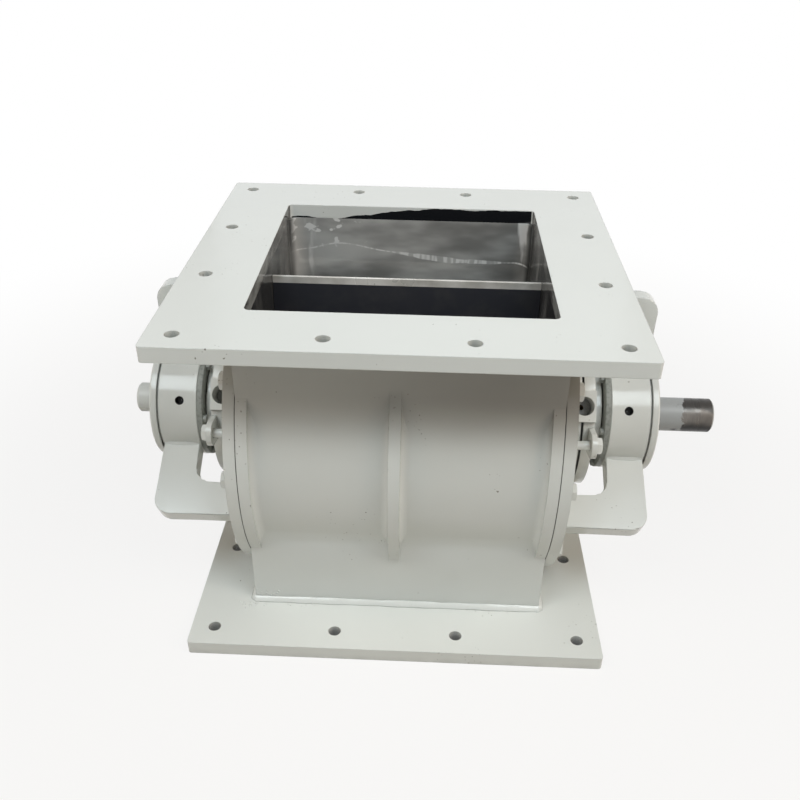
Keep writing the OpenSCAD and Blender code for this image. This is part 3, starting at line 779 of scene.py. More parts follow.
@dataclass(frozen=True)
class VaneFinish(Steel):
    """A rotor vane: near-black faces, a dark coat that also stands in as painted shade for the rotor
    pocket, and a ground tip land.
    """

    # The near-black face is a dark coat and also painted shade for the pocket it sits in
    face: Colour = (0.012, 0.013, 0.018, 1)
    dusty: Colour = (0.05, 0.048, 0.045, 1)
    face_roughness: float = 0.55
    metallic: float = 0.30
    land_from: Span = (0.1518, 0.1522)
    dust: Pattern = Pattern(40.0, 5.0, 0.45, 0.75, 0.0, 0.25, shift=2.5)

    def build(self) -> bpy.types.Material:
        """Builds the vane's finish.

        Returns:
            The material.
        """
        graph = Graph(self.name)
        metal, metal_roughness, normal = self.metal(graph)
        land = graph.band(graph.radius(), *self.land_from)
        face = graph.mix(graph.patches(self.dust), self.face, self.dusty)
        graph.set(
            Base_Color=graph.mix(land, face, metal),
            Roughness=graph.blend(Blend.NUMBER, land, self.face_roughness, metal_roughness),
            Metallic=graph.product(land, self.metallic),
            Normal=normal,
        )
        return graph.material


@dataclass(frozen=True)
class Moulded(Finish):
    """A plain non-metal such as rubber, braided packing or a dark primer that also serves as painted
    shade.
    """

    colour: Colour
    speck: Colour
    roughness: float
    grain: float
    relief: float
    stretch: Point = (1, 1, 1)
    detail: float = 3.0
    play: float = 0.06
    edge: float = 0.0006
    specked: Span = (0.42, 0.72)
    stained: Span = (0.5, 0.8)
    stain_share: float = 0.4
    stains: Pattern = Pattern(20.0, 3.0, 0.3, 0.7, shift=1.7)

    def build(self) -> bpy.types.Material:
        """Builds the material.

        Returns:
            The material.
        """
        graph = Graph(self.name)
        grain = graph.noise(Pattern(self.grain, self.detail, stretch=self.stretch))
        stain = graph.noise(self.stains)
        colour = graph.mix(graph.band(grain, *self.specked), self.colour, self.speck)
        stained = graph.band(stain, *self.stained, 0.0, self.stain_share)
        smooth, rough = self.roughness - self.play, self.roughness + self.play
        graph.set(
            Base_Color=graph.mix(stained, colour, self.speck),
            Roughness=graph.band(stain, self.stains.low, self.stains.high, smooth, rough),
            Normal=graph.bump(grain, self.relief, graph.rounded_normal(self.edge)),
        )
        return graph.material


class FinishBook:
    """The valve's finishes, each built once."""

    def __init__(self) -> None:
        """Builds every finish."""
        shaft_light, shaft_dark = (0.20, 0.185, 0.17, 1), (0.10, 0.09, 0.08, 1)
        vane_light, vane_dark = (0.80, 0.78, 0.74, 1), (0.46, 0.44, 0.40, 1)
        straw, straw_dark = (0.40, 0.34, 0.22, 1), (0.16, 0.13, 0.08, 1)
        black, black_dust = (0.018, 0.018, 0.018, 1), (0.05, 0.05, 0.048, 1)
        primer_and_shade, primer_and_shade_dark = (0.27, 0.285, 0.265, 1), (0.19, 0.20, 0.185, 1)
        finishes: list[Finish] = [
            Enamel("body_paint"),
            Enamel("bolt_paint", colour=(0.78, 0.80, 0.78, 1), sag=0.0002, edge=0.0008),
            Enamel("weld_paint", sag=0.0003, edge=0.0004),
            # Painted shade reaches further into the seal housing's hollows here, darkening its purge
            # ports
            Enamel("seal_paint", deep=0.62),
            HousingFinish("housing_paint_and_bore"),
            FlangeFinish("flange_paint"),
            ShaftFinish("shaft_steel", light=shaft_light, dark=shaft_dark, lines=(8, 1, 1)),
            VaneFinish("vane_steel", light=vane_light, dark=vane_dark, lines=(2, 1, 1)),
            Steel("bearing_steel", light=(0.60, 0.60, 0.59, 1), dark=(0.40, 0.40, 0.40, 1)),
            Steel("dark_steel", light=(0.14, 0.14, 0.14, 1), dark=(0.06, 0.06, 0.06, 1)),
            Steel("brass", light=(0.68, 0.50, 0.22, 1), dark=(0.42, 0.29, 0.12, 1)),
            Moulded(
                "braided_packing", straw, straw_dark,
                roughness=0.8, grain=300.0, relief=0.0004, stretch=(1, 0.5, 0.5),
            ),
            Moulded(
                "black_rubber", black, black_dust, roughness=0.6, grain=400.0, relief=0.00005
            ),
            # A dark primer that also stands in as painted shade on the inner caps, between the bearing
            # housing and the drum
            Moulded(
                "primed_casting", primer_and_shade, primer_and_shade_dark, roughness=0.50, grain=260.0, relief=0.00006
            ),
        ]
        self.materials = {finish.name: finish.build() for finish in finishes}

    def wear(self, piece: bpy.types.Object, name: str) -> None:
        """Gives a piece its finish.

        Args:
            piece: The object to dress.
            name: The finish's name.
        """
        piece.data.materials.clear()
        piece.data.materials.append(self.materials[name])


# ---- meshes -----------------------------------------------------------------


# A face with this many corners or more is an end cap and stays flat
FLAT_FROM_CORNERS = 6
ARC_STEPS = 9

# A drop's sides, its rings in degrees from its rim, and its height as a share of its radius
DROP_SIDES = 8
DROP_LIFTS = (-20, 13, 46, 79)
DROP_HEIGHT = 0.7


def spoke(degrees: float) -> tuple[Vector, Vector]:
    """Finds two directions square to the shaft at an angle above the front.

    Args:
        degrees: The angle.

    Returns:
        The way out from the shaft, and the way square to it that points up at the front.
    """
    turn = math.radians(degrees)
    return Vector((0, -math.cos(turn), math.sin(turn))), Vector((0, math.sin(turn), math.cos(turn)))


def ways_round(axis: Vector, count: int) -> list[Vector]:
    """Directions square to an axis, evenly spaced round it.

    Args:
        axis: The axis, of length one.
        count: How many.

    Returns:
        The directions.
    """
    side = axis.orthogonal().normalized()
    other = axis.cross(side)
    turns = [math.tau * i / count for i in range(count)]
    return [side * math.cos(turn) + other * math.sin(turn) for turn in turns]


def skin(
    mesh: bmesh.types.BMesh,
    rows: list[list[bmesh.types.BMVert]],
    closed: bool = False,
    backward: bool = False,
) -> list[bmesh.types.BMFace]:
    """Covers rows of points that run round a form.

    Args:
        mesh: The mesh that holds the points.
        rows: The rows, all of one length.
        closed: Whether the last row joins the first; otherwise both ends are capped.
        backward: Whether the rows run the other way round.

    Returns:
        The caps.
    """
    pairs = list(zip(rows, rows[1:]))
    caps = []
    if closed:
        pairs.append((rows[-1], rows[0]))
    else:
        ends = (rows[0], rows[-1][::-1]) if backward else (rows[0][::-1], rows[-1])
        caps = [mesh.faces.new(end) for end in ends]
    for one, two in pairs:
        for i in range(len(one)):
            nxt = (i + 1) % len(one)
            if backward:
                mesh.faces.new((one[i], two[i], two[nxt], one[nxt]))
            else:
                mesh.faces.new((one[i], one[nxt], two[nxt], two[i]))
    return caps


@dataclass(frozen=True)
class Wave:
    """One regular unevenness along a weld: its size and its turn per metre."""

    size: float
    turn: float

    def at(self, way: float, phase: float) -> float:
        """The unevenness at a place along the weld."""
        return self.size * math.sin(way * self.turn + phase)


@dataclass(frozen=True)
class WeldRun:
    """One straight run of a fillet weld, laid in the corner between two faces."""

    start: Vector | Point
    end: Vector | Point
    face_a: Vector | Point
    face_b: Vector | Point
    leg: float = 0.007
    bulge: float = 0.10
    taper: float = 0.004
    pitch: float = 0.0060
    steps_in_pitch: int = 6
    least_steps: int = 8
    columns: int = 9
    sunk: float = 0.0006
    blunt: float = 0.0006
    swell: Wave = Wave(0.05, 61.0)
    flutter: Wave = Wave(0.04, 173.0)
    pace: Wave = Wave(0.2, 97.0)
    lean: float = 0.45
    ripple_depth: float = 0.14
    ripple_power: float = 1.5
    ripple_middle: float = 0.9
    ripple_height: float = 0.18

    def ripple(self, way: float, crown: float, phase: float) -> float:
        """Shapes the overlapping ripples that the torch leaves, each bowed along the run.

        Args:
            way: The way along the run.
            crown: 1 in the middle of the face, 0 at its edges.
            phase: Where the unevenness of their spacing starts.

        Returns:
            The ripple's height above or below the face, as a share of the leg.
        """
        turn = (way + self.lean * self.pitch * crown) / self.pitch + self.pace.at(way, phase)
        height = 1 - self.ripple_depth * (turn % 1.0) ** self.ripple_power
        return self.ripple_height * (height - self.ripple_middle) * math.sqrt(crown)

    def add_to(self, mesh: bmesh.types.BMesh, chance: random.Random) -> None:
        """Adds the run's closed bead to a mesh.

        Args:
            mesh: The mesh that takes it.
            chance: Where its unevenness comes from.
        """
        start, end = Vector(self.start), Vector(self.end)
        a, b = Vector(self.face_a).normalized(), Vector(self.face_b).normalized()
        out = (a + b).normalized()
        length = (end - start).length
        along = (end - start) / length
        steps = max(self.least_steps, round(length / self.pitch * self.steps_in_pitch))
        phases = [chance.uniform(0, math.tau) for _ in range(3)]
        rings = []
        for i in range(steps + 1):
            way = length * i / steps
            slow = self.swell.at(way, phases[0]) + self.flutter.at(way, phases[1])
            nearest = min(way, length - way) + self.blunt
            leg = self.leg * (1 + slow) * math.sqrt(min(1.0, nearest / self.taper))
            ring = []
            for k in range(self.columns + 1):
                t = k / self.columns
                crown = 4 * t * (1 - t)
                point = start + along * way + a * leg * (1 - t) + b * leg * t
                point += out * leg * (self.bulge * crown + self.ripple(way, crown, phases[2]))
                ring.append(mesh.verts.new(point))
            ring.append(mesh.verts.new(start + along * way - out * self.sunk))
            rings.append(ring)
        skin(mesh, rings, backward=True)


def piece_from(name: str, mesh: bmesh.types.BMesh) -> bpy.types.Object:
    """Turns a finished mesh into an object, smooth but for its many-cornered faces.

    Args:
        name: The piece's name.
        mesh: The mesh, which is used up.

    Returns:
        The object, linked to the scene.
    """
    bmesh.ops.recalc_face_normals(mesh, faces=mesh.faces)
    data = bpy.data.meshes.new(name)
    mesh.to_mesh(data)
    mesh.free()
    for polygon in data.polygons:
        polygon.use_smooth = len(polygon.vertices) < FLAT_FROM_CORNERS
    piece = bpy.data.objects.new(name, data)
    bpy.context.scene.collection.objects.link(piece)
    return piece


def add_lathe(
    mesh: bmesh.types.BMesh,
    origin: Vector,
    axis: Vector,
    profile: Sequence[Span],
    segments: int,
    closed: bool = False,
) -> None:
    """Adds a turned form.

    Args:
        mesh: The mesh that takes it.
        origin: A point on its axis.
        axis: The axis, of length one.
        profile: Pairs of the way along the axis and the radius there.
        segments: Steps round the axis.
        closed: Whether the profile joins up into a ring; otherwise both ends are capped.
    """
    ways = ways_round(axis, segments)
    rows = [
        [mesh.verts.new(origin + axis * along + way * radius) for way in ways]
        for along, radius in profile
    ]
    skin(mesh, rows, closed)


def crisp(piece: bpy.types.Object, degrees: float = 28.0) -> None:
    """Shades a piece smoothly between its sharp edges.

    Args:
        piece: The piece.
        degrees: The angle from which an edge is sharp.
    """
    for polygon in piece.data.polygons:
        polygon.use_smooth = True
    piece.data.set_sharp_from_angle(angle=math.radians(degrees))


def carve(piece: bpy.types.Object, tool_mesh: bmesh.types.BMesh) -> None:
    """Cuts one mesh out of a piece.

    Args:
        piece: The piece that is cut.
        tool_mesh: The closed mesh that is taken away, which is used up.
    """
    tool = piece_from("carving_tool", tool_mesh)
    cut = piece.modifiers.new("carve", "BOOLEAN")
    cut.operation = "DIFFERENCE"
    cut.solver = "EXACT"
    cut.object = tool
    evaluated = piece.evaluated_get(bpy.context.evaluated_depsgraph_get())
    whole = bpy.data.meshes.new_from_object(evaluated)
    piece.modifiers.clear()
    piece.data = whole
    bpy.data.objects.remove(tool, do_unlink=True)


def arc(centre: Span, radius: float, start: float, end: float) -> list[Span]:
    """Points on an arc.

    Args:
        centre: The arc's centre.
        radius: Its radius.
        start: Where it starts, in degrees.
        end: Where it ends, in degrees.

    Returns:
        The points, both ends included.
    """
    turns = [math.radians(start + (end - start) * i / ARC_STEPS) for i in range(ARC_STEPS + 1)]
    return [(centre[0] + radius * math.cos(t), centre[1] + radius * math.sin(t)) for t in turns]


def add_drop(mesh: bmesh.types.BMesh, centre: Vector, normal: Vector, size: float) -> None:
    """Adds one flattened drop of spatter that sits on a face.

    Args:
        mesh: The mesh that takes it.
        centre: Its place on the face.
        normal: The way the face looks.
        size: Its radius.
    """
    ways = ways_round(normal, DROP_SIDES)
    rows = []
    for lift in (math.radians(degrees) for degrees in DROP_LIFTS):
        rise = DROP_HEIGHT * normal * math.sin(lift)
        rows.append([mesh.verts.new(centre + size * (way * math.cos(lift) + rise)) for way in ways])
    skin(mesh, rows)


# ---- sub-assemblies ---------------------------------------------------------


@dataclass
class Assembly:
    """What every sub-assembly shares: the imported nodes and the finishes."""

    nodes: dict[str, bpy.types.Object]
    book: FinishBook

    def dress(self, finish: str, *names: str) -> None:
        """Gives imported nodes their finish.

        Args:
            finish: The finish's name.
            names: The nodes' names.
        """
        for name in names:
            self.book.wear(self.nodes[name], finish)
            LOG.info("dressed %s with %s", name, finish)

    def add(
        self,
        name: str,
        mesh: bmesh.types.BMesh,
        finish: str,
        node: str | None = None,
        slot: str = "body_paint",
        body: str = "root",
    ) -> bpy.types.Object:
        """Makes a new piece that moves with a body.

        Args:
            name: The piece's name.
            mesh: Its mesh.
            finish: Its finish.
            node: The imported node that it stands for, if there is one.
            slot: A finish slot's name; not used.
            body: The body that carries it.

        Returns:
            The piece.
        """
        piece = piece_from(name, mesh)
        self.book.wear(piece, finish)
        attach(piece, body)
        if node:
            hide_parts(node)
        LOG.info("built %s with %d faces", name, len(piece.data.polygons))
        return piece


@dataclass
class Flanges(Assembly):
    """The two square flanges and the fillet welds that join them to the housing."""

    face_height: dict[Level, float] = field(
        default_factory=lambda: {Level.INLET: 0.368, Level.OUTLET: 0.016}
    )
    duct_half: float = 0.157
    end_half: float = 0.165
    return_from: float = 0.081
    leg: float = 0.0056
    overrun: float = 0.6
    weld_seed: int = 11
    spatter_seed: int = 77
    flange_drops: int = 34
    flange_drop_places: tuple[float, ...] = (-0.168, -0.163, -0.12, 0.10)
    flange_drop_spread: float = 0.010
    flange_drop_size: Span = (0.0004, 0.0012)
    skirt_drops: int = 22
    skirt_drop_place: float = -0.156
    skirt_drop_limit: float = -0.163
    skirt_drop_spread: float = 0.012
    skirt_drop_size: Span = (0.0004, 0.0013)
    flight: Span = (0.001, 0.004)

    def weld(self, level: Level) -> None:
        """Builds the weld round one end of the duct.

        Args:
            level: Which flange it is on.
        """
        mesh = bmesh.new()
        chance = random.Random(self.weld_seed + level.value)
        z = self.face_height[level]
        up = (0, 0, level.value)
        past = self.leg * self.overrun
        for sy in (-1, 1):
            y = sy * self.duct_half
            x0 = self.end_half + past
            WeldRun((-x0, y, z), (x0, y, z), (0, sy, 0), up, self.leg).add_to(mesh, chance)
            for sx in (-1, 1):
                x = sx * self.end_half
                y0, y1 = sy * (self.duct_half + past), sy * self.return_from
                WeldRun((x, y0, z), (x, y1, z), (sx, 0, 0), up, self.leg).add_to(mesh, chance)
        name = f"{level.label}_flange_weld_bead"
        self.add(name, mesh, "weld_paint", f"{level.label}_weld")

    def spatter(self) -> None:
        """Builds the spatter that the welder left on the outlet flange and the skirt."""
        mesh = bmesh.new()
        chance = random.Random(self.spatter_seed)
        floor = self.face_height[Level.OUTLET]
        front = Vector((0, -1, 0))
        for _ in range(self.flange_drops):
            x = chance.choice(self.flange_drop_places) + chance.gauss(0, self.flange_drop_spread)
            y = -self.duct_half - self.leg - abs(chance.gauss(*self.flight))
            add_drop(mesh, Vector((x, y, floor)), UP, chance.uniform(*self.flange_drop_size))
        for _ in range(self.skirt_drops):
            x = self.skirt_drop_place + chance.gauss(0, self.skirt_drop_spread)
            z = floor + self.leg + abs(chance.gauss(*self.flight))
            at = Vector((max(self.skirt_drop_limit, x), -self.duct_half, z))
            add_drop(mesh, at, front, chance.uniform(*self.skirt_drop_size))
        self.add("weld_spatter", mesh, "weld_paint")

    def build(self) -> None:
        """Dresses both flanges and builds their welds."""
        self.dress("flange_paint", "inlet_flange")
        self.dress("body_paint", "outlet_flange")
        for level in Level:
            self.weld(level)
        self.spatter()


@dataclass
class Housing(Assembly):
    """The drum with its ducts, rings and rib."""

    def build(self) -> None:
        """Dresses the housing."""
        self.dress("housing_paint_and_bore", "housing_body")


@dataclass
class BracketPlate:
    """One of the plates that carry a bearing housing, standing on a radius of the shaft."""

    name: str
    angle: float
    node: str | None = None
    thickness: float = 0.020
    cover_face: float = 0.178
    arm_start: float = 0.236
    arm_end: float = 0.278
    foot: float = 0.0646
    bar_start: float = 0.113
    bar_end: float = 0.153
    inner_corner: float = 0.017
    outer_corner: float = 0.018
    rim: float = 0.0009
    rim_steps: int = 2
    weld_leg: float = 0.0026
    foot_bulge: float = -0.08
    foot_taper: float = 0.010
    foot_gap: float = 0.0005
    base_bulge: float = 0.02
    base_taper: float = 0.006
    base_gap: float = 0.001

    def outline(self) -> list[Span]:
        """Draws the plate's outline.

        Returns:
            Pairs of the way along the shaft and the radius.
        """
        inner, outer = self.inner_corner, self.outer_corner
        points = [(self.cover_face, self.bar_start)]
        points += arc((self.arm_start - inner, self.bar_start - inner), inner, 90, 0)
        points += [(self.arm_start, self.foot), (self.arm_end, self.foot)]
        points += arc((self.arm_end - outer, self.bar_end - outer), outer, 0, 90)
        points += [(self.cover_face, self.bar_end)]
        return points

    def mesh(self, sign: int) -> bmesh.types.BMesh:
        """Builds the plate.

        Args:
            sign: The end's sign along the shaft.

        Returns:
            The plate's mesh.
        """
        out, up = spoke(self.angle)
        mesh = bmesh.new()
        rows = []
        for level in (-0.5, 0.5):
            shift = AXLE + up * self.thickness * level
            rows.append([
                mesh.verts.new(Vector((sign * x, 0, 0)) + out * reach + shift)
                for x, reach in self.outline()
            ])
        rims = {edge for cap in skin(mesh, rows, backward=True) for edge in cap.edges}
        bmesh.ops.bevel(
            mesh, geom=list(rims), offset=self.rim, segments=self.rim_steps, affect="EDGES"
        )
        return mesh

    def welds(self, sign: int, housing_radius: float) -> list[WeldRun]:
        """The fillet welds on both faces of the plate.

        Args:
            sign: The end's sign along the shaft.
            housing_radius: The radius of the bearing housing.

        Returns:
            The runs.
        """
        out, up = spoke(self.angle)
        along = Vector((sign, 0, 0))
        half = self.thickness / 2
        reach = math.sqrt(housing_radius**2 - half**2)
        arm = (along * (self.arm_start + self.foot_gap), along * (self.arm_end - self.foot_gap))
        bar = (out * (self.bar_start + self.base_gap), out * (self.bar_end - self.base_gap))
        runs = []
        for way in (-1, 1):
            foot = AXLE + out * reach + up * half * way
            wall = (up * reach * way - out * half) / housing_radius
            runs.append(WeldRun(
                foot + arm[0], foot + arm[1], out, wall,
                self.weld_leg, self.foot_bulge, self.foot_taper,
            ))
            base = AXLE + up * half * way + along * self.cover_face
            runs.append(WeldRun(
                base + bar[0], base + bar[1], along, up * way,
                self.weld_leg, self.base_bulge, self.base_taper,
            ))
        return runs


# Screw heads, as pairs of the height above the cap's face and the radius
ROUND_HEAD = ((-0.0004, 0.0044), (0.0001, 0.0044), (0.0005, 0.0040), (0.0005, 0.0020), (0.0001, 0.0020))
ROUND_HEAD_STEPS = 24
HEXAGON_HEAD = ((-0.0004, 0.0046), (0.0036, 0.0046), (0.0041, 0.0041))
HEXAGON_SIDES = 6

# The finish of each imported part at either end
END_FINISHES = {
    "housing_paint_and_bore": ("end_cover",),
    "seal_paint": ("seal_housing",),
    "body_paint": ("gland_follower", "bearing_housing", "front_bracket", "rear_bracket", "outer_cap"),
    "bolt_paint": ("cover_bolts", "seal_bolts"),
    "black_rubber": ("cover_gasket", "lip_seal"),
    "primed_casting": ("inner_cap",),
    "braided_packing": ("packing_rings",),
    "brass": ("lantern_ring", "bearing_cage"),
    "bearing_steel": (
        "bearing_outer_ring", "bearing_inner_ring", "bearing_balls", "inner_cap_screws",
    ),
    "dark_steel": ("circlip", "outer_cap_screws"),
}


@dataclass
class EndUnit(Assembly):
    """One end of the valve: cover, shaft seal, bearing housing, caps and bracket plates."""

    side: Side = Side.DRIVE
    housing_radius: float = 0.066
    housing_bore: float = 0.0551
    housing_start: float = 0.235
    housing_end: float = 0.2794
    chamfer: float = 0.0008
    face_gap: float = 0.0001
    ring_steps: int = 144
    recess_radius: float = 0.0462
    inner_cap_start: float = 0.2286
    inner_cap_step: float = 0.0004
    inner_cap_hole: float = 0.0283
    inner_spigot_gap: float = 0.0002
    inner_spigot_end: float = 0.2324
    inner_recess_start: float = 0.2306
    cap_radius: float = 0.067
    cap_start: float = 0.2812
    cap_end: float = 0.2892
    groove_depth: float = 0.0026
    spigot_gap: float = 0.0002
    spigot_start: float = 0.2727
    recess_end: float = 0.2762
    seal_radius: float = 0.0296
    port_radius: float = 0.005
    port_x: float = 0.2545
    port_angle: dict[Side, float] = field(
        default_factory=lambda: {Side.DRIVE: 33.0, Side.TAIL: 29.0}
    )
    port_steps: int = 32
    port_cut: Span = (0.0560, 0.072)
    # A black lining inside the grease port stands in as painted shade in the hole
    thread_foot: Span = (0.0556, 0.0562)
    thread_top: float = 0.0653
    thread_depth: float = 0.0003
    thread_overlap: float = 0.00005
    thread_middle: float = 0.0005
    screws: int = 6
    screw_circle: float = 0.0605
    screw_phase: float = 10.0
    bracket_seed: int = 31

    @property
    def outward(self) -> Vector:
        """The way from the drum to this end."""
        return Vector((self.side.value, 0, 0))

    def node(self, part: str) -> str:
        """A part's node name at this end."""
        return f"{self.side.label}_{part}"

    def turned(
        self, name: str, profile: Sequence[Span], finish: str, node: str
    ) -> bpy.types.Object:
        """Builds a ring turned about the shaft.

        Args:
            name: The piece's name at this end.
            profile: Its section, as pairs of the way along the shaft and the radius.
            finish: Its finish.
            node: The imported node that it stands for.

        Returns:
            The ring.
        """
        mesh = bmesh.new()
        add_lathe(mesh, AXLE, self.outward, profile, self.ring_steps, closed=True)
        return self.add(self.node(name), mesh, finish, self.node(node))

    def housing(self) -> None:
        """Builds the bearing housing with its grease port, and a black lining inside the port as
        painted shade.
        """
        c, r, bore = self.chamfer, self.housing_radius, self.housing_bore
        start, end = self.housing_start, self.housing_end
        ring = self.turned("bearing_housing_ring", [
            (start, bore), (start, r - c), (start + c, r), (end - c, r), (end, r - c), (end, bore),
        ], "body_paint", "bearing_housing")
        way, _ = spoke(self.port_angle[self.side])
        foot = AXLE + self.outward * self.port_x
        tool = bmesh.new()
        profile = [(height, self.port_radius) for height in self.port_cut]
        add_lathe(tool, foot, way, profile, self.port_steps)
        carve(ring, tool)
        crisp(ring)
        # Painted shade: a black cup that lines the port
        inside, lip = self.port_radius - self.thread_depth, self.port_radius + self.thread_overlap
        (low, floor), top = self.thread_foot, self.thread_top
        lining = bmesh.new()
        add_lathe(lining, foot, way, [
            (low, lip), (top, lip), (top, inside), (floor, inside), (floor, self.thread_middle),
            (low, self.thread_middle),
        ], self.port_steps, closed=True)
        crisp(self.add(self.node("grease_port_thread"), lining, "black_rubber", slot="rubber"))

    def inner_cap(self) -> None:
        """Builds the cap between the bearing housing and the drum."""
        c, r = self.chamfer, self.housing_radius - self.inner_cap_step
        start, end, hole = self.inner_cap_start, self.housing_start - self.face_gap, self.inner_cap_hole
        spigot, recess = self.housing_bore + self.inner_spigot_gap, self.recess_radius
        # The cap's dark primer also stands in as painted shade
        crisp(self.turned("inner_cap_ring", [
            (start, hole), (start, r - c), (start + c, r), (end, r), (end, spigot),
            (self.inner_spigot_end, spigot), (self.inner_spigot_end, recess),
            (self.inner_recess_start, recess), (self.inner_recess_start, hole),
        ], "primed_casting", "inner_cap"))

    def outer_cap(self) -> None:
        """Builds the cap outside the bearing housing, with the groove between the two."""
        c, r, groove = self.chamfer, self.cap_radius, self.housing_radius - self.groove_depth
        start, end, seat = self.cap_start, self.cap_end, self.housing_end + self.face_gap
        spigot, recess = self.housing_bore - self.spigot_gap, self.recess_radius
        crisp(self.turned("outer_cap_ring", [
            (self.spigot_start, spigot), (self.spigot_start, recess), (self.recess_end, recess),
            (self.recess_end, self.seal_radius), (end - c, self.seal_radius),
            (end, self.seal_radius + c), (end, r - 2 * c), (end - 2 * c, r), (start + c / 2, r),
            (start, r - c / 2), (start, groove), (seat, groove), (seat, spigot),
        ], "body_paint", "outer_cap"))

    def cap_screws(self) -> None:
        """Builds the low round heads outside and the hexagon heads inside."""
        outer, inner = bmesh.new(), bmesh.new()
        for i in range(self.screws):
            way, _ = spoke(self.screw_phase + i * 360 / self.screws)
            spot = AXLE + way * self.screw_circle
            profile = [(self.cap_end + height, radius) for height, radius in ROUND_HEAD]
            add_lathe(outer, spot, self.outward, profile, ROUND_HEAD_STEPS)
            profile = [(height - self.inner_cap_start, radius) for height, radius in HEXAGON_HEAD]
            add_lathe(inner, spot, -self.outward, profile, HEXAGON_SIDES)
        # The inner heads share their cap's dark primer, which also stands in as painted shade
        for mesh, place, finish, slot in (
            (outer, "outer", "bolt_paint", "painted_bolts"),
            (inner, "inner", "primed_casting", "body_paint"),
        ):
            name, node = self.node(f"{place}_cap_screw_heads"), self.node(f"{place}_cap_screws")
            crisp(self.add(name, mesh, finish, node, slot))

    def brackets(self) -> None:
        """Builds the three bracket plates and their welds."""
        mesh = bmesh.new()
        chance = random.Random(self.bracket_seed + self.side.value)
        for plate in (
            BracketPlate("front_bracket_plate", -30.0, "front_bracket"),
            BracketPlate("top_bracket_plate", 90.0, "rear_bracket"),
            BracketPlate("rear_bracket_plate", 210.0),
        ):
            node = self.node(plate.node) if plate.node else None
            crisp(self.add(self.node(plate.name), plate.mesh(self.side.value), "body_paint", node))
            for run in plate.welds(self.side.value, self.housing_radius):
                run.add_to(mesh, chance)
        self.add(self.node("bracket_weld_beads"), mesh, "weld_paint")

    def build(self) -> None:
        """Dresses this end and builds its bearing housing, caps and brackets."""
        for finish, parts in END_FINISHES.items():
            self.dress(finish, *(self.node(part) for part in parts))
        self.housing()
        self.inner_cap()
        self.outer_cap()
        self.cap_screws()
        self.brackets()


@dataclass
class Rotor(Assembly):
    """The shaft, hub and eight vanes."""

    vanes: int = 8
    phase: float = 3.7
    half_length: float = 0.1496
    hub_radius: float = 0.050
    vane_thickness: float = 0.008
    weld_leg: float = 0.006
    weld_inset: float = 0.003
    weld_seed: int = 5

    def welds(self) -> None:
        """Builds the fillet welds that hold the vanes on the hub."""
        mesh = bmesh.new()
        chance = random.Random(self.weld_seed)
        half = self.vane_thickness / 2
        depth = math.sqrt(self.hub_radius**2 - half**2)
        x = Vector((self.half_length - self.weld_inset, 0, 0))
        for i in range(self.vanes):
            out, across = spoke(self.phase + i * 360 / self.vanes)
            for s in (-1, 1):
                base = AXLE + out * depth + across * s * half
                slope = across * s - out * (half / depth)
                WeldRun(base - x, base + x, slope, out, self.weld_leg).add_to(mesh, chance)
        self.add("rotor_vane_weld_beads", mesh, "dark_steel", slot="dark_steel", body="rotor")

    def build(self) -> None:
        """Dresses the rotor and builds the vane welds."""
        self.dress("shaft_steel", "rotor_shaft")
        self.dress("vane_steel", *(f"vane_{i}" for i in range(1, self.vanes + 1)))
        self.dress("dark_steel", "rotor_hub")
        self.welds()


# ---- studio -----------------------------------------------------------------


COOL: Point = (0.87, 0.96, 1.0)
WARM: Point = (1.0, 0.86, 0.74)
WHITE: Colour = (1, 1, 1, 1)


def looked_at(tree: bpy.types.NodeTree) -> Socket:
    """Tells whether a ray is one that the camera sees by, straight or by a reflection.

    Args:
        tree: The nodes that need to know.

    Returns:
        1 for such a ray, 0 for one that only carries light.
    """
    path = tree.nodes.new("ShaderNodeLightPath")
    seen = path.outputs["Is Camera Ray"]
    for name in ("Is Glossy Ray", "Is Transmission Ray"):
        node = tree.nodes.new("ShaderNodeMath")
        node.operation = "MAXIMUM"
        tree.links.new(seen, node.inputs[0])
        tree.links.new(path.outputs[name], node.inputs[1])
        seen = node.outputs[0]
    return seen


@dataclass(frozen=True)
class Lamp:
    """One soft square lamp."""

    name: str
    place: Point
    size: float
    watts: float
    colour: Point

    def hang(self, target: Point) -> None:
        """Adds the lamp to the scene.

        Args:
            target: What it points at.
        """
        data = bpy.data.lights.new(self.name, "AREA")
        data.shape = "SQUARE"
        data.size = self.size
        data.energy = self.watts
        data.color = self.colour
        lamp = bpy.data.objects.new(self.name, data)
        lamp.location = self.place
        aim = Vector(target) - Vector(self.place)
        lamp.rotation_euler = aim.to_track_quat("-Z", "Y").to_euler()
        bpy.context.scene.collection.objects.link(lamp)


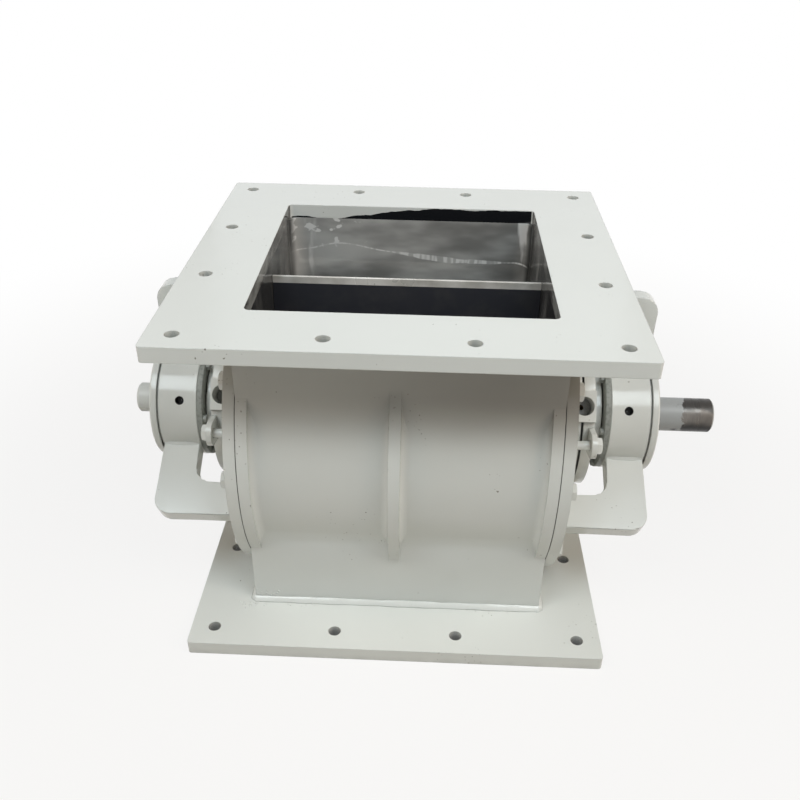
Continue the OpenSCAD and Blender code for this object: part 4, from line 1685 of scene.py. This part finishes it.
@dataclass
class Studio:
    """Floor, lamps, world and camera."""

    lamps: tuple[Lamp, ...] = (
        Lamp("high_left", (-0.75, -1.0, 2.0), 0.9, 15.5, COOL),
        Lamp("high_right", (0.75, -1.0, 2.0), 0.9, 16.0, COOL),
        Lamp("left_side", (-1.9, -0.6, 1.6), 1.5, 17.0, WARM),
        Lamp("right_side", (1.9, -0.6, 1.6), 1.5, 26.0, WARM),
        Lamp("rear_fill", (0.0, 2.1, 1.2), 1.5, 3.5, COOL),
    )
    lit_point: Point = (0.0, 0.0, 0.2)
    ambient: float = 0.02
    ambient_colour: Colour = (1.0, 0.98, 0.93, 1)
    floor_drop: float = 0.0006
    floor_radius: float = 8.0
    floor_steps: int = 64
    floor_colour: Colour = (0.62, 0.58, 0.52, 1)
    floor_roughness: float = 0.9
    floor_fade: Span = (0.45, 1.2)
    floor_white: float = 0.84
    camera_place: Point = (0.02472, -0.89879, 0.74346)
    camera_turn: Point = (55.8703, -0.7675, 2.355)
    camera_lens: float = 39.305
    camera_sensor: float = 36.0
    camera_shift: float = 0.05625
    camera_nearest: float = 0.01

    def world(self) -> None:
        """Lights the object softly and shows plain white to the camera and in reflections."""
        world = bpy.data.worlds.new("studio_world")
        bpy.context.scene.world = world
        world.use_nodes = True
        tree = world.node_tree
        tree.nodes.clear()
        output = tree.nodes.new("ShaderNodeOutputWorld")
        mixer = tree.nodes.new("ShaderNodeMixShader")
        tree.links.new(looked_at(tree), mixer.inputs[0])
        lights = ((self.ambient_colour, self.ambient), (WHITE, 1.0))
        for socket, (colour, strength) in zip(mixer.inputs[1:], lights):
            light = tree.nodes.new("ShaderNodeBackground")
            light.inputs["Color"].default_value = colour
            light.inputs["Strength"].default_value = strength
            tree.links.new(light.outputs[0], socket)
        tree.links.new(mixer.outputs[0], output.inputs["Surface"])

    def floor_material(self) -> bpy.types.Material:
        """A pale floor that keeps the shadow and fades to white far out.

        Returns:
            The material.
        """
        graph = Graph("studio_floor")
        graph.set(Base_Color=self.floor_colour, Roughness=self.floor_roughness)
        glow = graph.nodes.new("ShaderNodeEmission")
        glow.inputs["Color"].default_value = WHITE
        distance = graph.nodes.new("ShaderNodeVectorMath")
        distance.operation = "LENGTH"
        graph.feed(distance.inputs[0], graph.place)
        share = graph.band(distance.outputs["Value"], *self.floor_fade, self.floor_white, 1.0)
        mixer = graph.nodes.new("ShaderNodeMixShader")
        graph.feed(mixer.inputs[0], graph.product(share, looked_at(graph.tree)))
        graph.feed(mixer.inputs[1], graph.shader.outputs[0])
        graph.feed(mixer.inputs[2], glow.outputs[0])
        graph.feed(graph.output.inputs["Surface"], mixer.outputs[0])
        return graph.material

    def floor(self) -> None:
        """Lays the floor under the outlet flange."""
        mesh = bmesh.new()
        ring = []
        for i in range(self.floor_steps):
            turn = math.tau * i / self.floor_steps
            x, y = self.floor_radius * math.cos(turn), self.floor_radius * math.sin(turn)
            ring.append(mesh.verts.new((x, y, -self.floor_drop)))
        mesh.faces.new(ring)
        floor = piece_from("studio_floor", mesh)
        floor.data.materials.append(self.floor_material())

    def camera(self) -> None:
        """Places the camera in front of the valve and above it."""
        data = bpy.data.cameras.new("studio_camera")
        data.lens = self.camera_lens
        data.sensor_width = self.camera_sensor
        data.shift_y = self.camera_shift
        data.clip_start = self.camera_nearest
        camera = bpy.data.objects.new("studio_camera", data)
        camera.location = self.camera_place
        camera.rotation_euler = tuple(math.radians(a) for a in self.camera_turn)
        bpy.context.scene.collection.objects.link(camera)
        bpy.context.scene.camera = camera

    def build(self) -> None:
        """Sets up the whole studio."""
        bpy.context.scene.view_settings.view_transform = "Standard"
        self.world()
        self.floor()
        for lamp in self.lamps:
            lamp.hang(self.lit_point)
        self.camera()
        LOG.info("studio ready")


def main() -> None:
    """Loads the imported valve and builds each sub-assembly in order."""
    logging.basicConfig(level=logging.INFO, format="%(name)s: %(message)s")
    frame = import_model()
    nodes = frame["nodes"]
    book = FinishBook()
    Studio().build()
    Flanges(nodes, book).build()
    Housing(nodes, book).build()
    for side in Side:
        EndUnit(nodes, book, side=side).build()
    Rotor(nodes, book).build()


if __name__ == "__main__":
    main()
